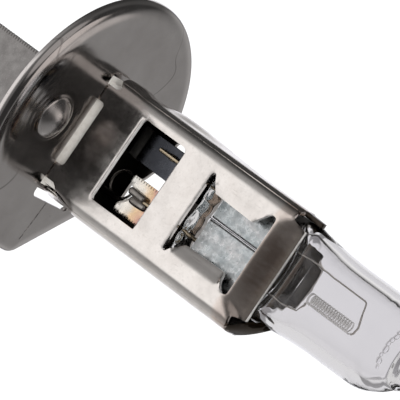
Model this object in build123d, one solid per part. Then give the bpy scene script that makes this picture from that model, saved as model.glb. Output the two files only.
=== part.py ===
from build123d import *
import math
import os

os.makedirs("parts", exist_ok=True)

# Single-filament halogen headlight capsule on a metal prefocus cap.
# Frame: origin at the centre of the flange's front face, +Z along the bulb axis
# towards the glass nose, X across the wide side of the sleeve, +Y out of the
# sleeve's front face. Millimetres.

# ---- flange ----
AXIS_SHIFT = 0.30        # the stamped sleeve's own zero plane sits this far from the flange centre in X
FLANGE_R = 12.0          # outer radius of the prefocus flange
FLANGE_T = 0.5           # sheet thickness
RIM_DEPTH = 1.15         # depth of the turned-back rim
RIM_BEND = 1.0           # outside bend radius of the rim
FLAT_DIST = 9.15         # distance of the flat from the axis
FLAT_DIR = 223.6         # direction the flat faces, degrees from +X
FLAT_CORNER = 1.6        # corner radius where the flat meets the rim
BOSS_PCR = 5.95          # radius of the circle of the three seating bosses
BOSS_DIRS = (93.0, 246.0, 295.0)
BOSS_R = 1.50            # boss radius at its foot
BOSS_H = 0.90            # boss height above the flange face
SLOT_X0, SLOT_X1 = -6.72, 5.55
SLOT_Y0, SLOT_Y1 = -3.70, 2.16
SLOT_CORNER = 0.5

# ---- sleeve ----
SL_HW = 5.75             # half width outside
SL_CX = -0.15            # sleeve centre in X
SL_HD = 2.02             # half depth outside
SL_R = 1.5               # outside corner radius
SL_T = 0.38              # sheet thickness
SL_Z0, SL_Z1 = 0.55, 21.0
SEAM = 49.0              # seam between the shells, degrees from +Y round the corner
LEG_X0, LEG_X1 = 3.05, 4.55
LEG_Z = -1.55
W1 = (-3.75, 3.98, 4.60, 9.55)      # window 1: x0, x1, z0, z1
W2_Z0, W2_Z1 = 12.70, 19.85         # window 2 ends

# ---- glass ----
GX = 0.60                # the capsule sits this far off the cap axis in X
G_R = 4.03               # tube radius
G_WALL = 0.95
P_HW = 4.55              # pinch half width
P_HD = 1.15              # pinch half thickness
P_Z0, P_Z1 = 12.62, 22.6
TUBE_Z = 26.2            # full tube from here
DOME_Z = 32.6            # dome starts here
NOSE_Z = 36.4
TIP_R, TIP_Z = 1.25, 37.3

# ---- coil and leads ----
COIL_X, COIL_Z0, COIL_Z1 = 0.10, 25.30, 29.95
COIL_R, COIL_RI = 0.49, 0.33
LEAD_R = 0.09
PIN_R = 0.22
FOIL_T = 0.06
FOIL_Z = (14.6, 20.6)
LIVE_FOIL_X = (-3.45, 0.50)
GND_FOIL_X = (0.75, 4.05)
LIVE_PIN_X, GND_PIN_X = -1.60, 2.62

# ---- straps ----
STRAP_Y0, STRAP_Y1 = -0.35, -0.10
LIVE_STRAP_X = (-3.62, -0.22)
GND_STRAP_X = (1.20, 3.75)
STRAP_TOP = 12.2
LINK_R = 0.30

# ---- insulator and terminal ----
CER_HW, CER_Y0, CER_Y1 = 3.85, -2.35, 2.10
CER_Z = -7.40
CER_FOOT_HW, CER_FOOT_HD, CER_FOOT_Z = 5.28, 2.42, -2.90
PLUG_HW, PLUG_HD, PLUG_Z = 4.95, 1.52, 0.85
CUP_HW = 5.72            # half width of the sheet cup round the insulator's foot
BLADE_W, BLADE_T = 6.3, 0.8
BLADE_IN_W, BLADE_IN_T = 5.5, 0.7   # shank inside the insulator
BLADE_Y = -0.40
BLADE_Z0, BLADE_Z1 = -16.8, -4.0
BLADE_HOLE_Z, BLADE_HOLE_R = -12.6, 0.90


def box(x0, x1, y0, y1, z0, z1):
    return Pos((x0 + x1) / 2, (y0 + y1) / 2, (z0 + z1) / 2) * Box(x1 - x0, y1 - y0, z1 - z0)


def prism_z(pts, z0, z1):
    """Closed polygon in XY, extruded from z0 to z1."""
    face = make_face(Polyline([(x, y, z0) for x, y in pts], close=True))
    return extrude(face, amount=z1 - z0, dir=(0, 0, 1))


def prism_y(pts, y0, y1):
    """Closed polygon of (x, z), extruded along Y."""
    face = make_face(Polyline([(x, y0, z) for x, z in pts], close=True))
    return extrude(face, amount=y1 - y0, dir=(0, 1, 0))


def prism_x(pts, x0, x1):
    """Closed polygon of (y, z), extruded along X."""
    face = make_face(Polyline([(x0, y, z) for y, z in pts], close=True))
    return extrude(face, amount=x1 - x0, dir=(1, 0, 0))


def wire_path(points, radii, r):
    """Round wire along straight runs joined by tangent arcs."""
    path = FilletPolyline(*points, radius=radii) if len(points) > 2 else Line(*points)
    start = Plane(origin=path @ 0, z_dir=path % 0)
    return sweep(start * Circle(r), path=path)


def solid_of(shape):
    s = shape.solids()
    return s[0] if len(s) == 1 else Compound(children=list(s))


def d_outline(r, dist, corner, z0, z1):
    """Disc with one flat, its two corners rounded, as a slab."""
    slab = Pos(0, 0, (z0 + z1) / 2) * Cylinder(r, z1 - z0)
    a = math.radians(FLAT_DIR)
    far = dist + 6
    cutter = Pos(far * math.cos(a), far * math.sin(a), (z0 + z1) / 2) * Rot(0, 0, FLAT_DIR) * Box(12, 40, z1 - z0 + 2)
    slab = slab - cutter
    edges = [e for e in slab.edges() if abs(e.length - (z1 - z0)) < 1e-6 and e.geom_type == GeomType.LINE]
    edges = [e for e in edges if abs((e @ 0.5).X * math.cos(a) + (e @ 0.5).Y * math.sin(a) - dist) < 1e-3]
    return fillet(edges, corner)


# ---------------------------------------------------------------- flange
outer = d_outline(FLANGE_R, FLAT_DIST, FLAT_CORNER, -RIM_DEPTH, 0)
top = [e for e in outer.edges() if abs((e @ 0.0).Z) < 1e-6 and abs((e @ 1.0).Z) < 1e-6 and abs((e @ 0.5).Z) < 1e-6]
outer = fillet(top, RIM_BEND)
inner = d_outline(FLANGE_R - FLANGE_T, FLAT_DIST - FLANGE_T, FLAT_CORNER - FLANGE_T, -RIM_DEPTH - 1, -FLANGE_T)
top = [e for e in inner.edges() if all(abs((e @ t).Z + FLANGE_T) < 1e-6 for t in (0.0, 0.5, 1.0))]
inner = fillet(top, RIM_BEND - FLANGE_T)
flange = outer - inner
slot = box(SLOT_X0, SLOT_X1, SLOT_Y0, SLOT_Y1, -2, 1)
slot = fillet([e for e in slot.edges() if abs(e.length - 3) < 1e-6], SLOT_CORNER)
flange = flange - slot
dome_r = (BOSS_R ** 2 + BOSS_H ** 2) / (2 * BOSS_H)
for ang in BOSS_DIRS:
    bx, by = BOSS_PCR * math.cos(math.radians(ang)), BOSS_PCR * math.sin(math.radians(ang))
    ball = Pos(bx, by, BOSS_H - dome_r) * Sphere(dome_r)
    flange = flange + (ball & box(bx - 2, bx + 2, by - 2, by + 2, -0.2, 2))
    pocket = Pos(bx, by, BOSS_H - 0.45 - dome_r) * Sphere(dome_r)
    flange = flange - (pocket & box(bx - 2, bx + 2, by - 2, by + 2, -0.9, -0.35 + 0.1))
flange_disc = solid_of(Pos(AXIS_SHIFT, 0, 0) * flange)

# ---------------------------------------------------------------- sleeve shells
def sleeve_ring(z0, z1):
    o = box(-SL_HW, SL_HW, -SL_HD, SL_HD, z0, z1)
    o = fillet([e for e in o.edges() if abs(e.length - (z1 - z0)) < 1e-6], SL_R)
    i = box(-SL_HW + SL_T, SL_HW - SL_T, -SL_HD + SL_T, SL_HD - SL_T, z0 - 1, z1 + 1)
    i = fillet([e for e in i.edges() if abs(e.length - (z1 - z0 + 2)) < 1e-6], SL_R - SL_T)
    return o - i


def corner_wedge(gap):
    """Region of the front shell in plan: between the two seam lines."""
    cx, cy = SL_HW - SL_R, SL_HD - SL_R
    a = math.radians(SEAM)
    ex, ey = math.sin(a), math.cos(a)
    nx, ny = math.cos(a), -math.sin(a)
    p = (cx + nx * gap, cy + ny * gap)
    q = (p[0] + 4 * ex, p[1] + 4 * ey)
    return [(-p[0], p[1]), (p[0], p[1]), q, (-q[0], q[1])]


ring = sleeve_ring(SL_Z0, SL_Z1)
front = Pos(SL_CX, 0, 0) * (ring & prism_z(corner_wedge(0.0), SL_Z0 - 1, SL_Z1 + 1))
back = Pos(SL_CX, 0, 0) * (ring - prism_z(corner_wedge(0.03), SL_Z0 - 1, SL_Z1 + 1))

w2_half = [(3.50, W2_Z0), (3.76, W2_Z0 + 0.10), (3.78, W2_Z0 + 0.32), (3.56, 13.14), (2.47, 13.86),
           (2.36, 18.05), (3.52, 19.10), (3.74, 19.42), (3.72, 19.72), (3.55, W2_Z1)]
w2_pts = w2_half + [(-x * 0.955, z + (0.08 if 13 < z < 19.3 else 0.0)) for x, z in reversed(w2_half)]


def window1(y0, y1):
    b = box(W1[0], W1[1], y0, y1, W1[2], W1[3])
    return fillet([e for e in b.edges() if abs(e.length - (y1 - y0)) < 1e-6], 0.45)


# notch between the legs, relief at both corners
notch = box(-LEG_X0, LEG_X0, 1.0, 3.0, -1, 0.80)
notch = fillet([e for e in notch.edges() if abs(e.length - 2) < 1e-6 and abs((e @ 0.5).Z - 0.80) < 1e-6], 0.35)
front = front - window1(0.8, 3.0) - prism_y(w2_pts, 0.8, 3.0) - notch
relief_p = prism_y([(LEG_X1, -2), (LEG_X1, 0.95), (LEG_X1 + 0.35, 1.30), (LEG_X1 + 0.75, 0.95), (LEG_X1 + 0.75, -2)], 0.8, 3.0)
relief_n = prism_y([(-LEG_X1, -2), (-LEG_X1, 0.9), (-LEG_X1 - 0.35, 1.45), (-LEG_X1 - 0.9, 2.1), (-6.1, 3.1), (-6.1, -2)], 0.8, 3.0)
front = front - relief_p - relief_n
for sx in (-1, 1):
    x0, x1 = sorted((sx * LEG_X0, sx * LEG_X1))
    front = front + box(x0, x1, SL_HD - SL_T, SL_HD, LEG_Z, 1.0)
    tx0, tx1 = sorted((sx * 2.32 + 0.10, sx * 2.72 + 0.10))
    front = front + box(tx0, tx1, P_HD, SL_HD - 0.2, 14.4, 17.8)
flap = prism_x([(SL_HD, 20.7), (1.62, 22.12), (1.24, 22.02), (SL_HD - SL_T, 20.7)], -4.35, 4.05)
front = front + flap
sleeve_front_shell = solid_of(front)

back = back - window1(-3.0, -0.8)
back = back - prism_y(w2_pts, -3.0, -0.8)
back_notch = box(-LEG_X0, LEG_X0, -3.0, -1.0, -1, 1.25)
back = back - back_notch - box(LEG_X1, 6, -3.0, -0.9, -1, 1.2) - box(-6, -LEG_X1, -3.0, -0.9, -1, 1.2)
back = back - prism_y([(-6.2, -1), (-6.2, 3.2), (-5.80, 3.2), (-5.65, 2.6), (-5.0, 1.5), (-5.0, -1)], 0.3, 2.5)
for sx in (-1, 1):
    x0, x1 = sorted((sx * LEG_X0, sx * LEG_X1))
    back = back + box(x0, x1, -SL_HD, -SL_HD + SL_T, LEG_Z, 1.0)
    tx0, tx1 = sorted((sx * 2.32 + 0.10, sx * 2.72 + 0.10))
    back = back + box(tx0, tx1, -SL_HD + 0.2, -P_HD, 14.4, 17.8)
# rear flap follows the glass shoulder, tapered
rear_flap = prism_x([(-SL_HD + SL_T, 20.7), (-2.10, 23.3), (-2.48, 23.3), (-SL_HD, 20.7)], -4.3, 4.3)
rear_flap = rear_flap & prism_y([(-4.3, 20), (-4.25, 20.9), (-2.9, 22.9), (-1.5, 23.3), (0.9, 23.3), (3.0, 22.9), (4.25, 21.2), (4.3, 20)], -4, 0)
back = back + rear_flap
# side tabs at the nose end
back = back + box(SL_CX + SL_HW - SL_T, SL_CX + SL_HW, -0.95, 0.50, 20.8, 23.0)
sx0 = SL_CX - SL_HW
tab_n = prism_y([(sx0, 20.7), (-5.60, 21.7), (-4.35, 24.15), (-4.05, 24.0), (-5.20, 21.6), (sx0 + SL_T, 20.7)], -0.95, 0.50)
back = back + tab_n
sleeve_back_shell = solid_of(back)

# ---------------------------------------------------------------- glass capsule
pinch = box(GX - P_HW, GX + P_HW, -P_HD, P_HD, P_Z0, P_Z1)
pinch = fillet([e for e in pinch.edges() if abs(e.length - (P_Z1 - P_Z0)) < 1e-6], 0.7)
lo = Plane.XY.offset(P_Z1) * Pos(GX, 0) * RectangleRounded(2 * P_HW, 2 * P_HD, 0.7)
mid = Plane.XY.offset(24.1) * Pos(GX, 0) * Ellipse(4.42, 3.05)
hi = Plane.XY.offset(TUBE_Z) * Pos(GX, 0) * Circle(G_R)
shoulder = loft([lo, mid, hi])
tube = Pos(GX, 0, (TUBE_Z + DOME_Z) / 2) * Cylinder(G_R, DOME_Z - TUBE_Z)
nose_h = NOSE_Z - DOME_Z
prof = make_face([
    Line((GX, 0, DOME_Z), (GX + G_R, 0, DOME_Z)),
    Spline([(GX + G_R, 0, DOME_Z), (GX + G_R * 0.93, 0, DOME_Z + nose_h * 0.42), (GX + G_R * 0.70, 0, DOME_Z + nose_h * 0.75),
            (GX + TIP_R, 0, DOME_Z + nose_h * 0.97)], tangents=[(0, 0, 1), (-1, 0, 0.12)]),
    Line((GX + TIP_R, 0, DOME_Z + nose_h * 0.97), (GX + TIP_R * 0.62, 0, TIP_Z)),
    Line((GX + TIP_R * 0.62, 0, TIP_Z), (GX, 0, TIP_Z)),
    Line((GX, 0, TIP_Z), (GX, 0, DOME_Z)),
])
dome = revolve(prof, axis=Axis((GX, 0, 0), (0, 0, 1)), revolution_arc=360)
glass = pinch + shoulder + tube + dome
c_r = G_R - G_WALL
cav = make_face([
    Line((GX, 0, 23.9), (GX + 1.4, 0, 24.1)),
    Line((GX + 1.4, 0, 24.1), (GX + c_r, 0, 26.4)),
    Line((GX + c_r, 0, 26.4), (GX + c_r, 0, 32.2)),
    Spline([(GX + c_r, 0, 32.2), (GX + c_r * 0.78, 0, 34.0), (GX, 0, 35.0)], tangents=[(0, 0, 1), (-1, 0, 0)]),
    Line((GX, 0, 35.0), (GX, 0, 23.9)),
])
cavity = revolve(cav, axis=Axis((GX, 0, 0), (0, 0, 1)), revolution_arc=360)
glass = glass - cavity

# ---------------------------------------------------------------- foils, pins, leads
live_foil = box(LIVE_FOIL_X[0], LIVE_FOIL_X[1], -FOIL_T / 2, FOIL_T / 2, *FOIL_Z)
ground_foil = box(GND_FOIL_X[0], GND_FOIL_X[1], -FOIL_T / 2, FOIL_T / 2, *FOIL_Z)
pin_y = FOIL_T / 2 + PIN_R
live_outer_pin = Pos(LIVE_PIN_X, pin_y, (6.0 + 15.4) / 2) * Cylinder(PIN_R, 15.4 - 6.0)
ground_outer_pin = Pos(GND_PIN_X, pin_y, (6.5 + 15.4) / 2) * Cylinder(PIN_R, 15.4 - 6.5)
lead_y = FOIL_T / 2 + LEAD_R
long_pts = [(2.55, lead_y, 19.8), (2.46, lead_y, 29.85), (COIL_X, lead_y, 30.35)]
long_lead = wire_path(long_pts, 0.35, LEAD_R)
short_pts = [(-1.62, lead_y, 19.8), (-1.36, lead_y, 25.15), (-0.50, lead_y, 25.42)]
short_lead = wire_path(short_pts, 0.22, LEAD_R)
coil = Pos(COIL_X, 0, (COIL_Z0 + COIL_Z1) / 2) * (Cylinder(COIL_R, COIL_Z1 - COIL_Z0) - Cylinder(COIL_RI, COIL_Z1 - COIL_Z0 + 1))
# far-end tail of the coil, up to the long lead
tail = Pos(COIL_X + 0.41, 0, (COIL_Z1 + 30.13) / 2) * Cylinder(0.075, 30.13 - COIL_Z1 + 0.1)
coil = (coil + tail) - long_lead - short_lead
filament_coil = solid_of(coil)
glass = glass - live_foil - ground_foil - live_outer_pin - ground_outer_pin - long_lead - short_lead
quartz_envelope = solid_of(glass)

# ---------------------------------------------------------------- straps and crimp
live_strap = box(*LIVE_STRAP_X, STRAP_Y0, STRAP_Y1, 5.65, STRAP_TOP)
live_strap = live_strap - box(LIVE_PIN_X - 0.35, LIVE_PIN_X + 0.35, -1, 1, 5.0, 6.35)
ground_strap = box(*GND_STRAP_X, STRAP_Y0, STRAP_Y1, 4.6, STRAP_TOP)
in_y = -SL_HD + SL_T
foot = prism_x([(STRAP_Y1, 4.75), (STRAP_Y0, 4.60), (in_y + 0.25, 3.30), (in_y, 3.40), (in_y, 1.7), (in_y + 0.25, 1.7),
                (in_y + 0.25, 3.15), (STRAP_Y1 + 0.02, 4.55)], GND_STRAP_X[0], GND_STRAP_X[1])
foot = prism_x([(STRAP_Y1, 4.9), (STRAP_Y0, 4.9), (in_y, 3.35), (in_y, 1.7), (in_y + 0.25, 1.7), (in_y + 0.25, 3.20)], GND_STRAP_X[0], GND_STRAP_X[1])
ground_strap = ground_strap - box(0, 5, -1, 1, 4.0, 4.9) + foot
crimp = Pos(LIVE_PIN_X - 0.36, 0.30, 7.2) * Cylinder(0.40, 2.3) + Pos(LIVE_PIN_X + 0.36, 0.30, 7.2) * Cylinder(0.40, 2.3)
crimp = crimp + box(LIVE_PIN_X - 0.5, LIVE_PIN_X + 0.5, STRAP_Y1, 0.2, 6.05, 8.35)
crimp = crimp - live_outer_pin
live_crimp = solid_of(crimp)
gy = pin_y - PIN_R
strap_welds = Compound(children=[
    (box(GND_PIN_X - 0.2, GND_PIN_X + 0.2, STRAP_Y1, gy + 0.06, z, z + 0.7) - ground_outer_pin).solids()[0] for z in (7.4, 9.6)
] + [
    (box(LIVE_PIN_X - 0.2, LIVE_PIN_X + 0.2, STRAP_Y1, gy + 0.06, z, z + 0.7) - live_outer_pin).solids()[0] for z in (10.2,)
])
link_y = STRAP_Y0 - LINK_R
link_wire = Pos(-2.0, link_y, (BLADE_Z1 + 9.0) / 2) * Cylinder(LINK_R, 9.0 - BLADE_Z1)

# ---------------------------------------------------------------- insulator, cup, terminal
body = box(-CER_HW, CER_HW, CER_Y0, CER_Y1, CER_Z, -1.0)
body = fillet([e for e in body.edges() if abs(e.length - (-1.0 - CER_Z)) < 1e-6], 0.7)
body = fillet([e for e in body.edges() if abs((e @ 0.5).Z - CER_Z) < 1e-6], 0.45)
foot_c = box(-CER_FOOT_HW, CER_FOOT_HW, -CER_FOOT_HD, CER_FOOT_HD, CER_FOOT_Z, -FLANGE_T)
foot_c = fillet([e for e in foot_c.edges() if abs(e.length - (-FLANGE_T - CER_FOOT_Z)) < 1e-6], 0.8)
plug = box(SL_CX - PLUG_HW, SL_CX + PLUG_HW, -PLUG_HD, PLUG_HD, -FLANGE_T - 0.2, PLUG_Z)
plug = fillet([e for e in plug.edges() if abs(e.length - (PLUG_Z + FLANGE_T + 0.2)) < 1e-6], 0.9)
ceramic = body + foot_c + plug
for sy in (-1, 1):
    y0, y1 = sorted((sy * (SL_HD - SL_T - 0.04), sy * (SL_HD + 0.04)))
    for sx in (-1, 1):
        x0, x1 = sorted((sx * (LEG_X0 - 0.05), sx * (LEG_X1 + 0.05)))
        ceramic = ceramic - box(x0, x1, y0, y1, LEG_Z, 2)
blade = box(-BLADE_W / 2, BLADE_W / 2, BLADE_Y - BLADE_T / 2, BLADE_Y + BLADE_T / 2, BLADE_Z0, BLADE_Z1)
blade = blade - box(-4, 4, -2, 2, CER_Z, 0) + box(-BLADE_IN_W / 2, BLADE_IN_W / 2, BLADE_Y - BLADE_IN_T / 2, BLADE_Y + BLADE_IN_T / 2, CER_Z - 0.2, BLADE_Z1)
tipc = [e for e in blade.edges() if abs(e.length - BLADE_T) < 1e-6 and abs((e @ 0.5).Z - BLADE_Z0) < 1e-6]
blade = chamfer(tipc, 1.0)
blade = blade - Pos(0, BLADE_Y, BLADE_HOLE_Z) * Rot(90, 0, 0) * Cylinder(BLADE_HOLE_R, 3)
blade_terminal = solid_of(blade)
ceramic = ceramic - box(-BLADE_IN_W / 2, BLADE_IN_W / 2, BLADE_Y - BLADE_IN_T / 2, BLADE_Y + BLADE_IN_T / 2, CER_Z - 1, BLADE_Z1)
ceramic = ceramic - Pos(-2.0, link_y, 0) * Cylinder(LINK_R, 12)
ceramic_insulator = solid_of(ceramic)

cup_o = box(-CUP_HW, CUP_HW, -2.86, 2.86, -3.3, -FLANGE_T)
cup_o = fillet([e for e in cup_o.edges() if abs(e.length - (3.3 - FLANGE_T)) < 1e-6], 1.2)
brim = box(-CUP_HW, CUP_HW, -4.9, 4.3, -FLANGE_T - 0.4, -FLANGE_T)
brim = fillet([e for e in brim.edges() if abs(e.length - 0.4) < 1e-6], 1.5)
cup_i = box(-CER_FOOT_HW, CER_FOOT_HW, -CER_FOOT_HD, CER_FOOT_HD, CER_FOOT_Z, 0)
cup_i = fillet([e for e in cup_i.edges() if abs(e.length + CER_FOOT_Z) < 1e-6], 0.8)
cup = (cup_o + brim) - cup_i - box(-CER_HW, CER_HW, CER_Y0, CER_Y1, -5, 0)
insulator_cup = solid_of(cup)
flange_welds = Compound(children=[
    Pos(x, y, -FLANGE_T - 0.4 - 0.08) * Cylinder(0.50, 0.16) for x in (-4.1, 4.1) for y in (-4.3, 3.7)
])

PARTS = {
    "quartz_envelope": quartz_envelope,
    "filament_coil": filament_coil,
    "long_lead_wire": solid_of(long_lead),
    "short_lead_wire": solid_of(short_lead),
    "live_foil": live_foil,
    "ground_foil": ground_foil,
    "live_outer_pin": live_outer_pin,
    "ground_outer_pin": ground_outer_pin,
    "live_crimp": live_crimp,
    "strap_welds": strap_welds,
    "live_strap": solid_of(live_strap),
    "ground_strap": solid_of(ground_strap),
    "link_wire": link_wire,
    "sleeve_front_shell": sleeve_front_shell,
    "sleeve_back_shell": sleeve_back_shell,
    "flange_disc": flange_disc,
    "insulator_cup": insulator_cup,
    "flange_welds": flange_welds,
    "ceramic_insulator": ceramic_insulator,
    "blade_terminal": blade_terminal,
}
for name, shape in PARTS.items():
    export_step(Pos(-AXIS_SHIFT, 0, 0) * shape, f"parts/{name}.step")
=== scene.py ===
import bpy
import bmesh
import math
import random
import numpy as np
from mathutils import Vector, Matrix, noise
from mathutils.geometry import delaunay_2d_cdt


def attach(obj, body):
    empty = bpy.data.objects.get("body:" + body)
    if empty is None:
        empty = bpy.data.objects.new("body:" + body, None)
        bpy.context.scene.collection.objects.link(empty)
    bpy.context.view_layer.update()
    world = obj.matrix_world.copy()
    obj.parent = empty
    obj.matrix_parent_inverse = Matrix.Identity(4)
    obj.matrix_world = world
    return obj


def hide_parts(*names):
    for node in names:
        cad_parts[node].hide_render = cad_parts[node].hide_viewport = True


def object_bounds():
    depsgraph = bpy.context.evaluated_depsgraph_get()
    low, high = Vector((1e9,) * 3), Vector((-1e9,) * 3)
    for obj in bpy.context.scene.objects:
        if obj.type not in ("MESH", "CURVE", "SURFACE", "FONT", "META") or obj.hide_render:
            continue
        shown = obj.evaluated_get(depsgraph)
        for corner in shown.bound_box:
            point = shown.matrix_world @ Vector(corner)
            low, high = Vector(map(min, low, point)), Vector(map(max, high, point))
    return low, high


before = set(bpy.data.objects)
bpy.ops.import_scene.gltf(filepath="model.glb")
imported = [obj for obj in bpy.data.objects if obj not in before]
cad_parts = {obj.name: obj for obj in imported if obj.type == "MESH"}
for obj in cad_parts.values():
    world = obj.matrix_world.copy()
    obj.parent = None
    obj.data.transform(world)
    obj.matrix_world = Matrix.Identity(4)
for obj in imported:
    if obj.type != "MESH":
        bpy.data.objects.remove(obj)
cad_box = [list(map(float, p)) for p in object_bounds()]
scene = bpy.context.scene
random.seed(7)
rng = np.random.default_rng(7)

MM = 0.001
SHIFT = -0.30            # stamped sleeve's zero plane to the flange centre, mm


# ------------------------------------------------------------------ helpers
def link(ob):
    scene.collection.objects.link(ob)
    return ob


def smooth_all(me, on=True):
    me.polygons.foreach_set("use_smooth", [on] * len(me.polygons))
    me.update()


def make_mesh(name, verts, faces, shift=True):
    v = np.asarray(verts, float).reshape(-1, 3).copy()
    if shift:
        v[:, 0] += SHIFT
    v *= MM
    me = bpy.data.meshes.new(name)
    me.from_pydata([tuple(p) for p in v], [], [tuple(int(i) for i in f) for f in faces])
    me.validate()
    me.update()
    smooth_all(me)
    return link(bpy.data.objects.new(name, me))


def fix_normals(ob):
    bm = bmesh.new()
    bm.from_mesh(ob.data)
    bmesh.ops.remove_doubles(bm, verts=bm.verts, dist=2e-7)
    bmesh.ops.recalc_face_normals(bm, faces=bm.faces)
    bm.to_mesh(ob.data)
    bm.free()
    smooth_all(ob.data)


def sharpen(ob, deg=38):
    bm = bmesh.new()
    bm.from_mesh(ob.data)
    lim = math.radians(deg)
    for e in bm.edges:
        e.smooth = not (len(e.link_faces) == 2 and e.calc_face_angle(0) > lim)
    bm.to_mesh(ob.data)
    bm.free()


def apply_mods(ob):
    dg = bpy.context.evaluated_depsgraph_get()
    me = bpy.data.meshes.new_from_object(ob.evaluated_get(dg), preserve_all_data_layers=True, depsgraph=dg)
    old = ob.data
    ob.modifiers.clear()
    ob.data = me
    bpy.data.meshes.remove(old)


def bevel(ob, width_mm, seg=2, angle=40):
    m = ob.modifiers.new("bevel", "BEVEL")
    m.width = width_mm * MM
    m.segments = seg
    m.limit_method = "ANGLE"
    m.angle_limit = math.radians(angle)
    m.harden_normals = False
    m.use_clamp_overlap = True
    w = ob.modifiers.new("wn", "WEIGHTED_NORMAL")
    w.mode = "FACE_AREA"
    w.weight = 80
    w.keep_sharp = False
    apply_mods(ob)


def ring_loft(rings, close_start=True, close_end=True):
    """rings: list of (n,3) arrays; returns verts, faces of a tube with capped ends (fan to centre)."""
    n = len(rings[0])
    verts = np.concatenate(rings)
    faces = []
    for i in range(len(rings) - 1):
        a, b = i * n, (i + 1) * n
        for j in range(n):
            k = (j + 1) % n
            faces.append((a + j, a + k, b + k, b + j))
    verts = list(map(tuple, verts))
    if close_start:
        verts.append(tuple(np.mean(rings[0], 0)))
        c = len(verts) - 1
        faces += [(c, (j + 1) % n, j) for j in range(n)]
    if close_end:
        verts.append(tuple(np.mean(rings[-1], 0)))
        c = len(verts) - 1
        o = (len(rings) - 1) * n
        faces += [(c, o + j, o + (j + 1) % n) for j in range(n)]
    return verts, faces


def smoothstep(a, b, x):
    t = np.clip((x - a) / (b - a), 0, 1)
    return t * t * (3 - 2 * t)


def arc(cx, cy, r, a0, a1, n):
    t = np.radians(np.linspace(a0, a1, n))
    return [(cx + r * math.cos(v), cy + r * math.sin(v)) for v in t]


def round_poly(pts, radii, n=6):
    """Rounds the corners of a closed polygon. radii: one number or one per corner."""
    P = [np.array(p, float) for p in pts]
    m = len(P)
    if not hasattr(radii, "__len__"):
        radii = [radii] * m
    out = []
    for i in range(m):
        a, b, c = P[i - 1], P[i], P[(i + 1) % m]
        r = radii[i]
        u, v = a - b, c - b
        lu, lv = np.linalg.norm(u), np.linalg.norm(v)
        u, v = u / lu, v / lv
        ang = math.acos(max(-1, min(1, float(u @ v))))
        if r <= 0 or ang > math.pi - 0.02:
            out.append(tuple(b))
            continue
        d = min(r / math.tan(ang / 2), lu * 0.49, lv * 0.49)
        rr = d * math.tan(ang / 2)
        bis = (u + v) / np.linalg.norm(u + v)
        cen = b + bis * (rr / math.sin(ang / 2))
        p0, p1 = b + u * d, b + v * d
        a0 = math.atan2(*(p0 - cen)[::-1])
        a1 = math.atan2(*(p1 - cen)[::-1])
        da = (a1 - a0 + math.pi) % (2 * math.pi) - math.pi
        for k in range(n + 1):
            t = a0 + da * k / n
            out.append((cen[0] + rr * math.cos(t), cen[1] + rr * math.sin(t)))
    return out


def densify(poly, step):
    out = []
    m = len(poly)
    for i in range(m):
        a, b = np.array(poly[i], float), np.array(poly[(i + 1) % m], float)
        k = max(1, int(math.ceil(np.linalg.norm(b - a) / step)))
        for j in range(k):
            out.append(tuple(a + (b - a) * j / k))
    return out


def inside(poly, pts):
    poly = np.asarray(poly)
    x, y = pts[:, 0], pts[:, 1]
    res = np.zeros(len(pts), bool)
    x0, y0 = poly[-1]
    for x1, y1 in poly:
        c = ((y1 > y) != (y0 > y)) & (x < (x0 - x1) * (y - y1) / (y0 - y1 + 1e-12) + x1)
        res ^= c
        x0, y0 = x1, y1
    return res


def poly_dist(poly, pts):
    a = np.asarray(poly)
    b = np.roll(a, -1, 0)
    best = np.full(len(pts), 1e9)
    for p, q in zip(a, b):
        ab = q - p
        t = np.clip(((pts - p) @ ab) / max(ab @ ab, 1e-12), 0, 1)
        d = np.linalg.norm(pts - (p + t[:, None] * ab), axis=1)
        best = np.minimum(best, d)
    return best


def flat_pattern(outline, holes, step, edge_step=0.12, margin=0.45):
    """Triangulates a flat sheet pattern with holes; returns points and triangles."""
    loops = [densify(outline, edge_step)] + [densify(h, edge_step) for h in holes]
    xs = np.array(outline)
    gx = np.arange(xs[:, 0].min() + step / 2, xs[:, 0].max(), step)
    gy = np.arange(xs[:, 1].min() + step / 2, xs[:, 1].max(), step)
    G = np.array([(x, y) for y in gy for x in gx])
    keep = inside(outline, G) & (poly_dist(loops[0], G) > step * margin)
    for h, l in zip(holes, loops[1:]):
        keep &= ~inside(h, G) & (poly_dist(l, G) > step * margin)
    G = G[keep]
    pts, edges = [], []
    for l in loops:
        o = len(pts)
        pts += l
        edges += [(o + i, o + (i + 1) % len(l)) for i in range(len(l))]
    nb = len(pts)
    pts += [tuple(g) for g in G]
    vo, eo, fo, ov, oe, of_ = delaunay_2d_cdt([Vector(p) for p in pts], edges, [], 0, 1e-6)
    V = np.array([(v.x, v.y) for v in vo])
    F = np.array([list(f) for f in fo])
    C = V[F].mean(1)
    ok = inside(outline, C)
    for h in holes:
        ok &= ~inside(h, C)
    F = F[ok]
    # drop slivers
    A = V[F]
    area = 0.5 * ((A[:, 1, 0] - A[:, 0, 0]) * (A[:, 2, 1] - A[:, 0, 1]) - (A[:, 2, 0] - A[:, 0, 0]) * (A[:, 1, 1] - A[:, 0, 1]))
    F = np.where(area[:, None] < 0, F[:, ::-1], F)
    F = F[np.abs(area) > 1e-9]
    return V, F


def boundary_edges(F):
    seen = {}
    for f in F:
        for i in range(3):
            a, b = int(f[i]), int(f[(i + 1) % 3])
            seen[(a, b)] = seen.get((a, b), 0) + 1
    return [(a, b) for (a, b) in seen if (b, a) not in seen]


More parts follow.
